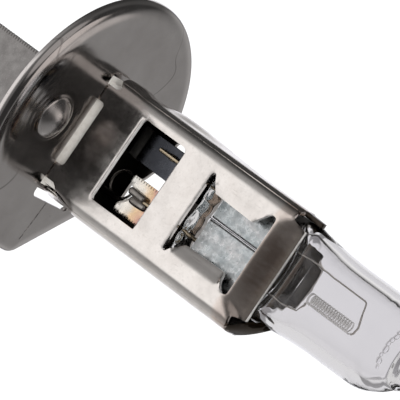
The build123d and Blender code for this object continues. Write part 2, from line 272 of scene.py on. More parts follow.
def sheet(name, V, F, mapping, thick, deform=None):
    """Bends a flat pattern onto a surface and gives it thickness inwards."""
    n = len(V)
    outer, inner = [], []
    for u, z in V:
        p, nrm = mapping(u, z)
        outer.append(p)
        inner.append(p - nrm * thick)
    P = np.array(outer + inner)
    if deform is not None:
        P = deform(P, np.concatenate([V, V]), np.array([0] * n + [1] * n))
    faces = [tuple(f) for f in F] + [tuple(int(i) + n for i in f[::-1]) for f in F]
    wall = []
    for a, b in boundary_edges(F):
        wall.append((b, a, a + n, b + n))
    ob = make_mesh(name, P, faces + wall)
    fix_normals(ob)
    return ob


def wire(name, pts, r, res=10, closed=False, smooth=True, bevel_res=6, shift=True):
    cu = bpy.data.curves.new(name, "CURVE")
    cu.dimensions = "3D"
    cu.bevel_depth = r * MM
    cu.bevel_resolution = bevel_res
    cu.resolution_u = res
    cu.use_fill_caps = True
    sp = cu.splines.new("POLY")
    sp.points.add(len(pts) - 1)
    for p, q in zip(sp.points, pts):
        p.co = ((q[0] + (SHIFT if shift else 0)) * MM, q[1] * MM, q[2] * MM, 1)
    sp.use_cyclic_u = closed
    ob = bpy.data.objects.new(name, cu)
    link(ob)
    dg = bpy.context.evaluated_depsgraph_get()
    me = bpy.data.meshes.new_from_object(ob.evaluated_get(dg), depsgraph=dg)
    bpy.data.objects.remove(ob)
    bpy.data.curves.remove(cu)
    me.name = name
    ob = link(bpy.data.objects.new(name, me))
    smooth_all(me)
    sharpen(ob, 50)
    return ob


def fillet_path(pts, radii, n=8):
    P = [np.array(p, float) for p in pts]
    out = [P[0]]
    for i in range(1, len(P) - 1):
        a, b, c = P[i - 1], P[i], P[i + 1]
        r = radii if not hasattr(radii, "__len__") else radii[i - 1]
        u = (a - b) / np.linalg.norm(a - b)
        v = (c - b) / np.linalg.norm(c - b)
        ang = math.acos(max(-1, min(1, float(u @ v))))
        if ang > math.pi - 0.01:
            out.append(b)
            continue
        d = min(r / math.tan(ang / 2), np.linalg.norm(a - b) * 0.48, np.linalg.norm(c - b) * 0.48)
        p0, p1 = b + u * d, b + v * d
        for k in range(n + 1):
            t = k / n
            out.append((1 - t) ** 2 * p0 + 2 * t * (1 - t) * b + t ** 2 * p1)
    out.append(P[-1])
    return out


def done(ob, node, mats):
    """Rides the body, replaces its CAD node and takes its materials."""
    for m in (mats if isinstance(mats, (list, tuple)) else [mats]):
        ob.data.materials.append(m)
    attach(ob, "root")
    if node:
        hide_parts(node)
    return ob


# ------------------------------------------------------------------ materials
class Nodes:
    def __init__(self, name):
        self.mat = bpy.data.materials.new(name)
        self.mat.use_nodes = True
        self.nt = self.mat.node_tree
        self.nt.nodes.clear()
        self.out = self.new("ShaderNodeOutputMaterial")

    def new(self, kind, **kw):
        n = self.nt.nodes.new(kind)
        for k, v in kw.items():
            setattr(n, k, v)
        return n

    def put(self, node, **inputs):
        for k, v in inputs.items():
            s = node.inputs[k.replace("_", " ")]
            if hasattr(v, "is_linked"):
                self.nt.links.new(v, s)
            else:
                s.default_value = v
        return node

    def link(self, a, b):
        self.nt.links.new(a, b)

    def coords(self, scale):
        tc = self.new("ShaderNodeTexCoord")
        mp = self.new("ShaderNodeMapping")
        mp.inputs["Scale"].default_value = scale
        self.link(tc.outputs["Object"], mp.inputs["Vector"])
        return mp.outputs["Vector"]

    def noise(self, scale3, detail=4, rough=0.55, dist=0.0):
        n = self.new("ShaderNodeTexNoise")
        n.inputs["Scale"].default_value = 1.0
        n.inputs["Detail"].default_value = detail
        n.inputs["Roughness"].default_value = rough
        n.inputs["Distortion"].default_value = dist
        self.link(self.coords(scale3), n.inputs["Vector"])
        return n.outputs["Fac"]

    def ramp(self, fac, stops, interp="LINEAR"):
        r = self.new("ShaderNodeValToRGB")
        r.color_ramp.interpolation = interp
        el = r.color_ramp.elements
        while len(el) > 1:
            el.remove(el[-1])
        el[0].position, el[0].color = stops[0][0], stops[0][1]
        for p, c in stops[1:]:
            e = el.new(p)
            e.color = c
        self.link(fac, r.inputs["Fac"])
        return r.outputs["Color"]

    def math(self, op, a, b=None, clamp=False):
        m = self.new("ShaderNodeMath", operation=op, use_clamp=clamp)
        for i, v in enumerate((a, b)):
            if v is None:
                continue
            if hasattr(v, "is_linked"):
                self.link(v, m.inputs[i])
            else:
                m.inputs[i].default_value = v
        return m.outputs[0]

    def remap(self, v, a, b, c, d):
        m = self.new("ShaderNodeMapRange", interpolation_type="SMOOTHSTEP")
        self.link(v, m.inputs["Value"])
        for k, x in zip(("From Min", "From Max", "To Min", "To Max"), (a, b, c, d)):
            m.inputs[k].default_value = x
        return m.outputs["Result"]

    def mix(self, fac, a, b):
        m = self.new("ShaderNodeMix", data_type="RGBA")
        for s, v in ((m.inputs[0], fac), (m.inputs[6], a), (m.inputs[7], b)):
            if hasattr(v, "is_linked"):
                self.link(v, s)
            else:
                s.default_value = v
        return m.outputs[2]

    def bump(self, height, strength, dist_mm, normal=None):
        b = self.new("ShaderNodeBump")
        b.inputs["Strength"].default_value = strength
        b.inputs["Distance"].default_value = dist_mm * MM
        self.link(height, b.inputs["Height"])
        if normal is not None:
            self.link(normal, b.inputs["Normal"])
        return b.outputs["Normal"]


def g(v, a=1.0):
    return (v, v, v, a)


def rgb(r, gg, b):
    return (r, gg, b, 1.0)


def metal(name, base, var, rough, rvar, grain, scratch=None, wave=None, edge=None, spots=None):
    """Plated or drawn metal: colour cloud, roughness cloud, fine grain and directional scratches."""
    N = Nodes(name)
    p = N.new("ShaderNodeBsdfPrincipled")
    p.inputs["Metallic"].default_value = 1.0
    cloud = N.noise((350, 350, 350), 5, 0.6)
    col = N.ramp(cloud, [(0.3, rgb(*[c * (1 - var) for c in base])), (0.7, rgb(*[min(1, c * (1 + var * 0.5)) for c in base]))])
    if spots:
        s = N.noise((spots[0],) * 3, 3, 0.5)
        f = N.ramp(s, [(spots[1], g(0)), (spots[1] + 0.06, g(1))])
        col = N.mix(f, col, rgb(*[c * spots[2] for c in base]))
    N.link(col, p.inputs["Base Color"])
    rc = N.noise((900, 900, 900), 4, 0.6)
    N.link(N.remap(rc, 0.3, 0.7, rough - rvar, rough + rvar), p.inputs["Roughness"])
    nrm = None
    if wave:
        nrm = N.bump(N.noise((wave[0],) * 3, 2, 0.4), wave[1], 0.05, nrm)
    if grain:
        nrm = N.bump(N.noise((grain[0],) * 3, 5, 0.65), grain[1], 0.01, nrm)
    if scratch:
        sc, st = scratch
        nrm = N.bump(N.noise(sc, 3, 0.7, 0.2), st, 0.01, nrm)
    if nrm is not None:
        N.link(nrm, p.inputs["Normal"])
    N.link(p.outputs[0], N.out.inputs["Surface"])
    return N.mat


M = {}
def sleeve_material():
    """Nickel-plated sheet drawn along the bulb: satin with fine grain, long faint scratches and dull patches, with
    painted shade at the turned-in end and at the foot.
    """
    N = Nodes("bright_sleeve_sheet")
    p = N.new("ShaderNodeBsdfPrincipled")
    p.inputs["Metallic"].default_value = 1.0
    col = N.ramp(N.noise((520,) * 3, 6, 0.62), [(0.28, rgb(0.735, 0.70, 0.672)), (0.62, rgb(0.845, 0.815, 0.79))])
    col = N.mix(N.ramp(N.noise((5200,) * 3, 3, 0.55), [(0.56, g(0)), (0.74, g(0.35))]), col, rgb(0.60, 0.565, 0.53))
    col = N.mix(N.ramp(N.noise((9000, 9000, 700), 3, 0.5), [(0.69, g(0)), (0.73, g(0.5))]), col, rgb(0.50, 0.46, 0.43))
    tc = N.new("ShaderNodeTexCoord")
    sep = N.new("ShaderNodeSeparateXYZ")
    N.link(tc.outputs["Object"], sep.inputs[0])
    z = N.math("ADD", N.math("MULTIPLY", sep.outputs["Z"], 1000.0), N.math("MULTIPLY", N.math("SUBTRACT", N.noise((500,) * 3, 3, 0.6), 0.5), 0.5))
    ax = N.math("ABSOLUTE", N.math("ADD", N.math("MULTIPLY", sep.outputs["X"], 1000.0), 0.3))
    front = N.remap(sep.outputs["Y"], 0.0, 0.0005, 0, 1)
    # turned-in end: painted shade in straw to dark brown tones where the wall turns in over the glass, paler towards
    # the corners, with a painted highlight along the very edge
    end_shade_z = N.math("DIVIDE", N.math("SUBTRACT", z, 19.0), 4.0)
    tint = N.ramp(end_shade_z, [(0.08, g(1.0)), (0.20, rgb(0.86, 0.80, 0.76)), (0.30, rgb(0.56, 0.49, 0.46)), (0.46, rgb(0.36, 0.30, 0.27)), (0.62, rgb(0.34, 0.28, 0.25)), (0.74, rgb(0.50, 0.42, 0.37)), (0.82, rgb(0.9, 0.82, 0.74))])
    streak = N.remap(N.noise((1500, 1500, 260), 4, 0.6), 0.35, 0.65, 0.72, 1.25)
    # the painted shade pales towards the corners of the front face
    side = N.remap(ax, 1.6, 4.2, 0.0, 0.62)
    tint = N.mix(side, tint, rgb(0.92, 0.86, 0.83))
    m = N.new("ShaderNodeMix", data_type="RGBA", blend_type="MULTIPLY")
    m.inputs["Factor"].default_value = 1.0
    N.link(col, m.inputs[6])
    N.link(tint, m.inputs[7])
    # painted shade on the front face only, from z 19.2 mm on, broken up by the streaks
    band = N.math("MULTIPLY", N.remap(z, 19.2, 19.8, 0, 1), front)
    col2 = N.mix(N.math("MULTIPLY", band, N.remap(streak, 0.72, 1.25, 1.0, 0.86)), col, m.outputs[2])
    # painted shade at the foot: darker towards the flange and towards the middle of the front face, mottled
    foot = N.math("MULTIPLY", N.math("MULTIPLY", N.remap(z, 2.9, 4.4, 1, 0), N.remap(ax, 1.6, 3.2, 0.66, 0.05)), front)
    mott = N.remap(N.noise((2600, 2600, 1800), 4, 0.7), 0.3, 0.7, 0.8, 1.1)
    col2 = N.mix(N.math("MULTIPLY", foot, mott), col2, rgb(0.22, 0.185, 0.165))
    N.link(col2, p.inputs["Base Color"])
    N.link(N.remap(N.noise((700, 700, 500), 5, 0.62), 0.32, 0.68, 0.13, 0.27), p.inputs["Roughness"])
    n = N.bump(N.noise((260,) * 3, 2, 0.4), 0.14, 0.05)
    n = N.bump(N.noise((2300, 2300, 1500), 4, 0.6), 0.10, 0.012, n)
    n = N.bump(N.noise((9000,) * 3, 5, 0.65), 0.18, 0.01, n)
    n = N.bump(N.noise((14000, 14000, 800), 3, 0.7), 0.16, 0.01, n)
    N.link(n, p.inputs["Normal"])
    N.link(p.outputs[0], N.out.inputs["Surface"])
    return N.mat


M["sleeve"] = sleeve_material()
# near-black, warm-toned inner face of the rear wall where it opens over the glass: painted shade
M["flap_in"] = metal("flap_inside_painted_shade", (0.022, 0.014, 0.008), 0.45, 0.38, 0.08, (5000, 0.2), None, wave=(300, 0.2))
# dark brown side tabs folded over the glass: painted shade
M["tab"] = metal("side_tab_painted_shade", (0.085, 0.070, 0.058), 0.25, 0.22, 0.06, (7000, 0.2), None)
# near-black inside of the sleeve: painted shade; the link wire and the strip between the foils take it too
M["sleeve_in"] = metal("sleeve_inside_painted_shade", (0.045, 0.041, 0.038), 0.2, 0.34, 0.06, (6000, 0.2), None)
M["wire"] = metal("drawn_lead", (0.46, 0.43, 0.40), 0.12, 0.36, 0.06, (9000, 0.15))
M["pin"] = metal("oxidised_pin", (0.60, 0.50, 0.36), 0.2, 0.30, 0.08, (9000, 0.25))
M["weld"] = metal("weld_metal", (0.50, 0.47, 0.44), 0.25, 0.35, 0.1, (6000, 0.5))


def foil_material():
    """Etched molybdenum foil under quartz: bluish grey with frosty clouds and small dark pits."""
    N = Nodes("molybdenum_foil")
    p = N.new("ShaderNodeBsdfPrincipled")
    p.inputs["Metallic"].default_value = 1.0
    cloud = N.noise((520, 520, 330), 6, 0.62)
    col = N.ramp(cloud, [(0.36, rgb(0.58, 0.65, 0.67)), (0.50, rgb(0.82, 0.87, 0.88)), (0.62, rgb(1.0, 1.0, 1.0))])
    col = N.mix(N.ramp(N.noise((3000,) * 3, 5, 0.7), [(0.52, g(0)), (0.66, g(0.55))]), col, rgb(0.50, 0.55, 0.57))
    col = N.mix(N.ramp(N.noise((6500,) * 3, 3, 0.6), [(0.64, g(0)), (0.70, g(0.6))]), col, rgb(0.30, 0.31, 0.31))
    N.link(col, p.inputs["Base Color"])
    N.link(N.remap(N.noise((1800,) * 3, 5, 0.65), 0.3, 0.7, 0.20, 0.46), p.inputs["Roughness"])
    n = N.bump(N.noise((620,) * 3, 2, 0.4), 0.40, 0.05)
    n = N.bump(N.noise((4200,) * 3, 5, 0.65), 0.25, 0.010, n)
    N.link(n, p.inputs["Normal"])
    N.link(p.outputs[0], N.out.inputs["Surface"])
    return N.mat


M["foil"] = foil_material()


def strap_material():
    """Nickel strip with heat tint round the weld: straw, orange, violet, blue."""
    N = Nodes("heat_tinted_strap")
    p = N.new("ShaderNodeBsdfPrincipled")
    p.inputs["Metallic"].default_value = 1.0
    tc = N.new("ShaderNodeTexCoord")
    sep = N.new("ShaderNodeSeparateXYZ")
    N.link(tc.outputs["Object"], sep.inputs[0])
    wob = N.noise((1400, 1400, 1400), 4, 0.6)
    z = N.math("ADD", sep.outputs["Z"], N.math("MULTIPLY", N.math("SUBTRACT", wob, 0.5), 0.0016))
    dx = N.math("ABSOLUTE", N.math("ADD", sep.outputs["X"], 0.0019))
    t = N.math("ADD", N.math("MULTIPLY", z, 1000.0), N.math("MULTIPLY", dx, 350.0))
    t = N.math("DIVIDE", N.math("SUBTRACT", t, 6.1), 4.8)
    col = N.ramp(t, [(0.0, rgb(1.0, 0.98, 0.94)), (0.24, rgb(0.98, 0.92, 0.82)), (0.42, rgb(0.90, 0.66, 0.42)), (0.55, rgb(0.74, 0.45, 0.36)),
                     (0.64, rgb(0.42, 0.33, 0.52)), (0.74, rgb(0.32, 0.40, 0.62)), (0.86, rgb(0.60, 0.62, 0.66)), (1.0, rgb(0.62, 0.58, 0.52))])
    # dark ticks along the strap's edges: painted shade of the shear ridges
    col = N.mix(N.math("MULTIPLY", comb(N, -2.22, 1.46, 1.50, 0.27, 0.30), 0.85), col, rgb(0.05, 0.045, 0.04))
    N.link(col, p.inputs["Base Color"])
    N.link(N.remap(N.noise((1500,) * 3, 4, 0.6), 0.3, 0.7, 0.20, 0.30), p.inputs["Roughness"])
    N.link(N.bump(N.noise((8000,) * 3, 5, 0.65), 0.15, 0.01), p.inputs["Normal"])
    N.link(p.outputs[0], N.out.inputs["Surface"])
    return N.mat


def ceramic_material():
    N = Nodes("steatite_body")
    p = N.new("ShaderNodeBsdfPrincipled")
    p.inputs["Roughness"].default_value = 0.62
    p.inputs["Specular IOR Level"].default_value = 0.35
    c1 = N.noise((1800,) * 3, 5, 0.6)
    col = N.ramp(c1, [(0.3, rgb(0.70, 0.665, 0.62)), (0.7, rgb(0.84, 0.815, 0.775))])
    sp = N.noise((14000,) * 3, 3, 0.5)
    col = N.mix(N.ramp(sp, [(0.60, g(0)), (0.72, g(0.55))]), col, rgb(0.42, 0.38, 0.34))
    N.link(col, p.inputs["Base Color"])
    n = N.bump(N.noise((9000,) * 3, 6, 0.7), 0.5, 0.02)
    n = N.bump(N.noise((1200,) * 3, 3, 0.5), 0.2, 0.06, n)
    N.link(n, p.inputs["Normal"])
    N.link(p.outputs[0], N.out.inputs["Surface"])
    return N.mat


def glass_material():
    N = Nodes("fused_quartz")
    p = N.new("ShaderNodeBsdfPrincipled")
    p.inputs["Base Color"].default_value = (0.94, 0.935, 0.945, 1)
    p.inputs["Transmission Weight"].default_value = 1.0
    p.inputs["IOR"].default_value = 1.46
    p.inputs["Specular IOR Level"].default_value = 0.22
    p.inputs["Specular Tint"].default_value = (0.30, 0.29, 0.28, 1)
    p.inputs["Roughness"].default_value = 0.0
    n = N.bump(N.noise((420, 420, 160), 3, 0.5), 0.05, 0.08)
    N.link(n, p.inputs["Normal"])
    N.link(p.outputs[0], N.out.inputs["Surface"])
    return N.mat


def filament_material():
    N = Nodes("tungsten_wire")
    p = N.new("ShaderNodeBsdfPrincipled")
    p.inputs["Metallic"].default_value = 1.0
    p.inputs["Metallic"].default_value = 0.6
    col = N.ramp(N.noise((3000,) * 3, 4, 0.6), [(0.3, rgb(0.90, 0.885, 0.87)), (0.7, rgb(0.97, 0.96, 0.95))])
    N.link(col, p.inputs["Base Color"])
    p.inputs["Roughness"].default_value = 0.36
    N.link(N.bump(N.noise((24000,) * 3, 3, 0.6), 0.2, 0.005), p.inputs["Normal"])
    N.link(p.outputs[0], N.out.inputs["Surface"])
    return N.mat




def cut_material():
    """Freshly sheared sheet edge: rough, bright, no clear reflections."""
    N = Nodes("sheared_edge")
    p = N.new("ShaderNodeBsdfPrincipled")
    p.inputs["Metallic"].default_value = 0.35
    col = N.ramp(N.noise((2500, 2500, 2500), 5, 0.65), [(0.3, rgb(0.66, 0.63, 0.60)), (0.6, rgb(0.93, 0.91, 0.88))])
    N.link(col, p.inputs["Base Color"])
    p.inputs["Roughness"].default_value = 0.42
    N.link(N.bump(N.noise((20000, 20000, 3000), 4, 0.7), 0.3, 0.01), p.inputs["Normal"])
    N.link(p.outputs[0], N.out.inputs["Surface"])
    return N.mat


def comb(N, x_mm, w0, w1, pitch, fill):
    """Mask of short dark ticks along both long edges of a strip, painted shade of the shear ridges: x_mm centre, w0..w1
    band from the centre.
    """
    tc = N.new("ShaderNodeTexCoord")
    sep = N.new("ShaderNodeSeparateXYZ")
    N.link(tc.outputs["Object"], sep.inputs[0])
    ax = N.math("ABSOLUTE", N.math("SUBTRACT", sep.outputs["X"], x_mm * MM))
    band = N.remap(ax, w0 * MM, w1 * MM, 0, 1)
    wob = N.math("MULTIPLY", N.noise((1500,) * 3, 2, 0.5), 0.12 * pitch * MM)
    ph = N.math("FRACT", N.math("DIVIDE", N.math("ADD", sep.outputs["Z"], wob), pitch * MM))
    tick = N.math("LESS_THAN", ph, fill)
    return N.math("MULTIPLY", band, tick)


def blade_material():
    N = Nodes("matte_terminal")
    p = N.new("ShaderNodeBsdfPrincipled")
    p.inputs["Metallic"].default_value = 1.0
    col = N.ramp(N.noise((700,) * 3, 6, 0.65), [(0.3, rgb(0.235, 0.226, 0.222)), (0.7, rgb(0.335, 0.325, 0.32))])
    fine = N.noise((9000,) * 3, 4, 0.6)
    col = N.mix(N.ramp(fine, [(0.55, g(0)), (0.70, g(0.6))]), col, rgb(0.44, 0.43, 0.425))
    # dark ticks along the blade's edges: painted shade of the shear ridges
    col = N.mix(N.math("MULTIPLY", comb(N, -0.3, 2.80, 2.92, 0.27, 0.42), 0.72), col, rgb(0.07, 0.066, 0.062))
    N.link(col, p.inputs["Base Color"])
    N.link(N.remap(N.noise((1500,) * 3, 4, 0.6), 0.3, 0.7, 0.36, 0.50), p.inputs["Roughness"])
    n = N.bump(N.noise((11000,) * 3, 5, 0.65), 0.5, 0.01)
    N.link(N.bump(N.noise((600, 600, 600), 3, 0.5), 0.25, 0.05, n), p.inputs["Normal"])
    N.link(p.outputs[0], N.out.inputs["Surface"])
    return N.mat


def flange_material():
    """Bright-plated sheet: clear reflections, duller on the drawn bosses, a few thin dark painted reflection lines."""
    N = Nodes("bright_flange_sheet")
    p = N.new("ShaderNodeBsdfPrincipled")
    p.inputs["Metallic"].default_value = 1.0
    col = N.ramp(N.noise((260,) * 3, 5, 0.6), [(0.3, rgb(0.60, 0.57, 0.56)), (0.7, rgb(0.70, 0.675, 0.665))])
    # thin dark wavy lines in the colour: painted reflection
    v = N.noise((74, 74, 74), 2, 0.35, 0.9)
    painted_reflection_lines = N.remap(N.math("ABSOLUTE", N.math("SUBTRACT", v, 0.47)), 0.0015, 0.0050, 1, 0)
    fade = N.remap(N.noise((90, 90, 90), 2, 0.5), 0.44, 0.60, 0, 0.50)
    col = N.mix(N.math("MULTIPLY", painted_reflection_lines, fade), col, rgb(0.17, 0.15, 0.145))
    pit = N.ramp(N.noise((5200,) * 3, 2, 0.5), [(0.735, g(0)), (0.765, g(0.8))])
    col = N.mix(pit, col, rgb(0.16, 0.15, 0.145))
    N.link(col, p.inputs["Base Color"])
    tc = N.new("ShaderNodeTexCoord")
    near = None
    for bx, by in BOSSES:
        d = N.new("ShaderNodeVectorMath", operation="DISTANCE")
        N.link(tc.outputs["Object"], d.inputs[0])
        d.inputs[1].default_value = (bx * MM, by * MM, 0.5 * MM)
        near = d.outputs["Value"] if near is None else N.math("MINIMUM", near, d.outputs["Value"])
    rb = N.remap(near, 1.3 * MM, 2.3 * MM, 0.27, 0.0)
    N.link(N.math("ADD", N.remap(N.noise((900,) * 3, 4, 0.6), 0.3, 0.7, 0.105, 0.165), N.math("MULTIPLY", rb, 0.55)), p.inputs["Roughness"])
    n = N.bump(N.noise((170,) * 3, 2, 0.4), 0.12, 0.05)
    n = N.bump(N.noise((7000,) * 3, 5, 0.65), 0.06, 0.01, n)
    n = N.bump(N.noise((2600,) * 3, 3, 0.7, 0.2), 0.05, 0.01, n)
    N.link(n, p.inputs["Normal"])
    N.link(p.outputs[0], N.out.inputs["Surface"])
    return N.mat


BOSSES = [(5.95 * math.cos(math.radians(t)), 5.95 * math.sin(math.radians(t))) for t in (93, 246, 295)]
M["cut"] = cut_material()
M["blade"] = blade_material()
M["flange"] = flange_material()
M["cup"] = metal("cup_sheet", (0.66, 0.63, 0.62), 0.04, 0.16, 0.03, (7000, 0.06), None)
M["strap"] = strap_material()
M["ceramic"] = ceramic_material()
M["glass"] = glass_material()
M["tungsten"] = filament_material()

# ------------------------------------------------------------------ flange
R_F, FLAT, FDIR, FC = 11.995, 9.15, math.radians(223.6), 1.6


def d_loop(inset, n_arc=250, n_c=14, n_f=64):
    """Outline of the flange, moved inwards by inset. Same number of points for every inset."""
    r, d, c = R_F - inset, FLAT - inset, max(FC - inset, 0.05)
    # corner arc centre, in the frame where the flat faces +u
    cu = FLAT - FC
    cv = math.sqrt((R_F - FC) ** 2 - cu ** 2)
    th = math.atan2(cv, cu)
    pts = []
    for t in np.linspace(th, 2 * math.pi - th, n_arc):
        pts.append((r * math.cos(t), r * math.sin(t)))
    for t in np.linspace(-th, 0, n_c + 2)[1:]:
        pts.append((cu + c * math.cos(t), -cv + c * math.sin(t)))
    for s in np.linspace(-cv, cv, n_f + 2)[1:-1]:
        pts.append((d, s))
    for t in np.linspace(0, th, n_c + 2)[:-1]:
        pts.append((cu + c * math.cos(t), cv + c * math.sin(t)))
    P = np.array(pts)
    ca, sa = math.cos(FDIR), math.sin(FDIR)
    return np.stack([P[:, 0] * ca - P[:, 1] * sa, P[:, 0] * sa + P[:, 1] * ca], 1)


SLOT = (-6.72, 5.40, -3.70, 2.16)

def slot_loop(ref, inset):
    """Point on the slot's edge for each direction of ref, seen from the slot's centre."""
    x0, x1, y0, y1 = SLOT
    cx, cy = (x0 + x1) / 2, (y0 + y1) / 2
    hx, hy = (x1 - x0) / 2 + inset, (y1 - y0) / 2 + inset
    out = []
    rr = 0.5 + inset
    for x, y in ref:
        dx, dy = x - cx, y - cy
        k = min(hx / abs(dx) if dx else 9e9, hy / abs(dy) if dy else 9e9)
        px, py = dx * k, dy * k
        ax, ay = hx - rr, hy - rr
        if abs(px) > ax and abs(py) > ay:
            # corner arc: intersect the ray with the circle
            ccx, ccy = math.copysign(ax, px), math.copysign(ay, py)
            L = math.hypot(dx, dy)
            ux, uy = dx / L, dy / L
            b = ux * ccx + uy * ccy
            disc = max(b * b - (ccx ** 2 + ccy ** 2 - rr ** 2), 0)
            s = b + math.sqrt(disc)
            px, py = ux * s, uy * s
        out.append((cx + px, cy + py))
    return np.array(out)


def boss_height(x, y):
    h = np.zeros_like(x)
    for bx, by in BOSSES:
        d = np.hypot(x - bx, y - by)
        R, H = 1.82, 1.02
        cap = H * np.clip(1 - (d / R) ** 2, 0, 1) ** 1.15
        foot = 0.030 * np.exp(-((d - R - 0.10) / 0.16) ** 2) - 0.020 * np.exp(-((d - R - 0.42) / 0.18) ** 2)
        swirl = 0.0065 * np.cos((d - R) * 9.0) * np.exp(-np.clip(d - R - 0.3, 0, None) / 1.0) * (d > R)
        h = h + cap + foot + swirl
    return h


def rim_profile():
    """Inset from the outline and height of the outer skin, with the angle of its normal from +Z."""
    L1, L2, A1 = 1.55, 0.88, math.radians(24)
    n1, n2 = 16, 18
    inset, z, pts = 0.0, 0.0, []
    ds = [L1 / n1] * n1 + [L2 / n2] * n2
    a_prev = 0.0
    run = [(0.0, 0.0, 0.0)]
    s_tot = 0.0
    for d in ds:
        s_tot += d
        if s_tot <= L1 + 1e-9:
            a = A1 * (s_tot / L1) ** 1.6
        else:
            a = A1 + (math.pi / 2 - A1) * min(1.0, (s_tot - L1) / L2)
        m = (a + a_prev) / 2
        inset += d * math.cos(m)
        z -= d * math.sin(m)
        run.append((inset, z, a))
        a_prev = a
    tot = inset
    return tot, [(tot - i, zz, aa) for i, zz, aa in run]


def build_flange():
    T, DEPTH = 0.5, 1.15
    I0, prof = rim_profile()
    base = d_loop(I0)
    n = len(base)
    c_slot = slot_loop(base, 0.0)
    c_slot_o = slot_loop(base, 0.035)
    rings = []

    def plate(loop_in, loop_out, zoff, m):
        out = []
        for k in range(m + 1):
            t = k / m
            P = loop_in * (1 - t) + loop_out * t
            h = boss_height(P[:, 0], P[:, 1])
            # thin sheet is never quite flat
            h = h + 0.012 * np.sin(P[:, 0] * 0.55 + 1.0) * np.sin(P[:, 1] * 0.5 + 0.3)
            h = h * (1 - smoothstep(0.93, 1.0, t * np.ones(n)))
            out.append(np.column_stack([P, zoff + h]))
        return out

    top = plate(c_slot_o, base, 0.0, 100)
    rings += [np.column_stack([c_slot, np.full(n, -0.035)]), np.column_stack([slot_loop(base, 0.010), np.full(n, -0.010)])]
    rings += top
    for ins, z, a in prof[1:]:
        rings.append(np.column_stack([d_loop(ins), np.full(n, z)]))
    z_end = prof[-1][1]
    lip = min(z_end - 0.01, -1.10)
    rings.append(np.column_stack([d_loop(0.0), np.full(n, lip)]))
    rings.append(np.column_stack([d_loop(0.015), np.full(n, -1.135)]))
    rings.append(np.column_stack([d_loop(0.05), np.full(n, -DEPTH)]))
    rings.append(np.column_stack([d_loop(T - 0.05), np.full(n, -DEPTH)]))
    rings.append(np.column_stack([d_loop(T - 0.015), np.full(n, -1.135)]))
    for ins, z, a in prof[::-1]:
        zz = z - T * math.cos(a)
        if zz < -1.12:
            continue
        rings.append(np.column_stack([d_loop(ins + T * math.sin(a)), np.full(n, zz)]))
    under = plate(c_slot_o, base, -T, 40)[::-1]
    rings += under[1:]
    rings.append(np.column_stack([slot_loop(base, 0.010), np.full(n, -T + 0.010)]))
    rings.append(np.column_stack([c_slot, np.full(n, -T + 0.06)]))
    V = np.concatenate(rings)
    faces = []
    m = len(rings)
    for i in range(m):
        a, b = i * n, ((i + 1) % m) * n
        for j in range(n):
            k = (j + 1) % n
            faces.append((a + j, a + k, b + k, b + j))
    ob = make_mesh("flange", V, faces, shift=False)
    fix_normals(ob)
    return done(ob, "flange_disc", M["flange"])


flange = build_flange()

# ------------------------------------------------------------------ sleeve shells
HW, HD, RC, TH, CX = 5.75, 2.02, 1.5, 0.38, -0.15
SEAM = math.radians(49.0)
FLATW = HW - RC
LEG0, LEG1 = 3.05, 4.55


def front_map(u, z):
    """u runs across the front shell from its middle."""
    s = 1 if u >= 0 else -1
    a = abs(u)
    if a <= FLATW:
        return np.array([CX + u, HD, z]), np.array([0.0, 1.0, 0.0])
    th = (a - FLATW) / RC
    nx, ny = math.sin(th), math.cos(th)
    return np.array([CX + s * (FLATW + RC * nx), HD - RC + RC * ny, z]), np.array([s * nx, ny, 0.0])


U_SEAM = FLATW + RC * SEAM
W2H = [(3.44, 12.70), (3.74, 12.76), (3.84, 13.02), (3.52, 13.22), (2.46, 13.88), (2.34, 18.05), (3.56, 19.10), (3.80, 19.44), (3.72, 19.82), (3.50, 19.90)]


def win2(flip=1.0):
    pos = [(x + 0.0, z) for x, z in W2H]
    neg = [(-x * 0.945 if x > 3 else -x * 0.92, z + (0.14 if 13.3 < z < 19.0 else 0.03)) for x, z in reversed(W2H)]
    pts = [(x - CX, z) for x, z in pos + neg]
    rad = [0.12, 0.18, 0.16, 0.10, 0.16, 0.14, 0.10, 0.22, 0.18, 0.05]
    rad = rad + list(reversed(rad))
    return round_poly(pts, rad, 5)


def win1():
    x0, x1, z0, z1 = -3.76 - CX, 3.98 - CX, 4.58, 9.56
    return round_poly([(x0, z0), (x1, z0), (x1, z1), (x0, z1)], [0.32, 0.34, 0.42, 0.16], 7)


def front_outline():
    L0, L1 = LEG0, LEG1
    c = -CX
    p = [
        (L0 + c, -1.55), (L1 + c, -1.55), (L1 + c, 0.92), (L1 + 0.35 + c, 1.28), (L1 + 0.72 + c, 0.95), (U_SEAM, 0.62),
        (U_SEAM, 20.95), (4.72 + c, 20.98), (4.42 + c, 21.35), (4.15 + c, 22.40),
        (-4.30 + c, 22.42), (-4.45 + c, 21.6), (-4.62 + c, 21.20), (-U_SEAM, 21.15),
        (-U_SEAM, 1.75), (-LEG1 - 0.85 + c, 1.45), (-LEG1 - 0.55 + c, 1.38), (-LEG1 - 0.22 + c, 1.20), (-L1 + c, 0.9), (-L1 + c, -1.55), (-L0 + c, -1.55),
        (-L0 + c, 0.78), (L0 + c, 0.78),
    ]
    r = [0.1, 0.1, 0.2, 0.3, 0.3, 0.2, 0.25, 0.12, 0.2, 0.12, 0.12, 0.2, 0.12, 0.25, 0.3, 0.3, 0.3, 0.25, 0.2, 0.1, 0.1, 0.36, 0.36]
    return round_poly(p, r, 6)


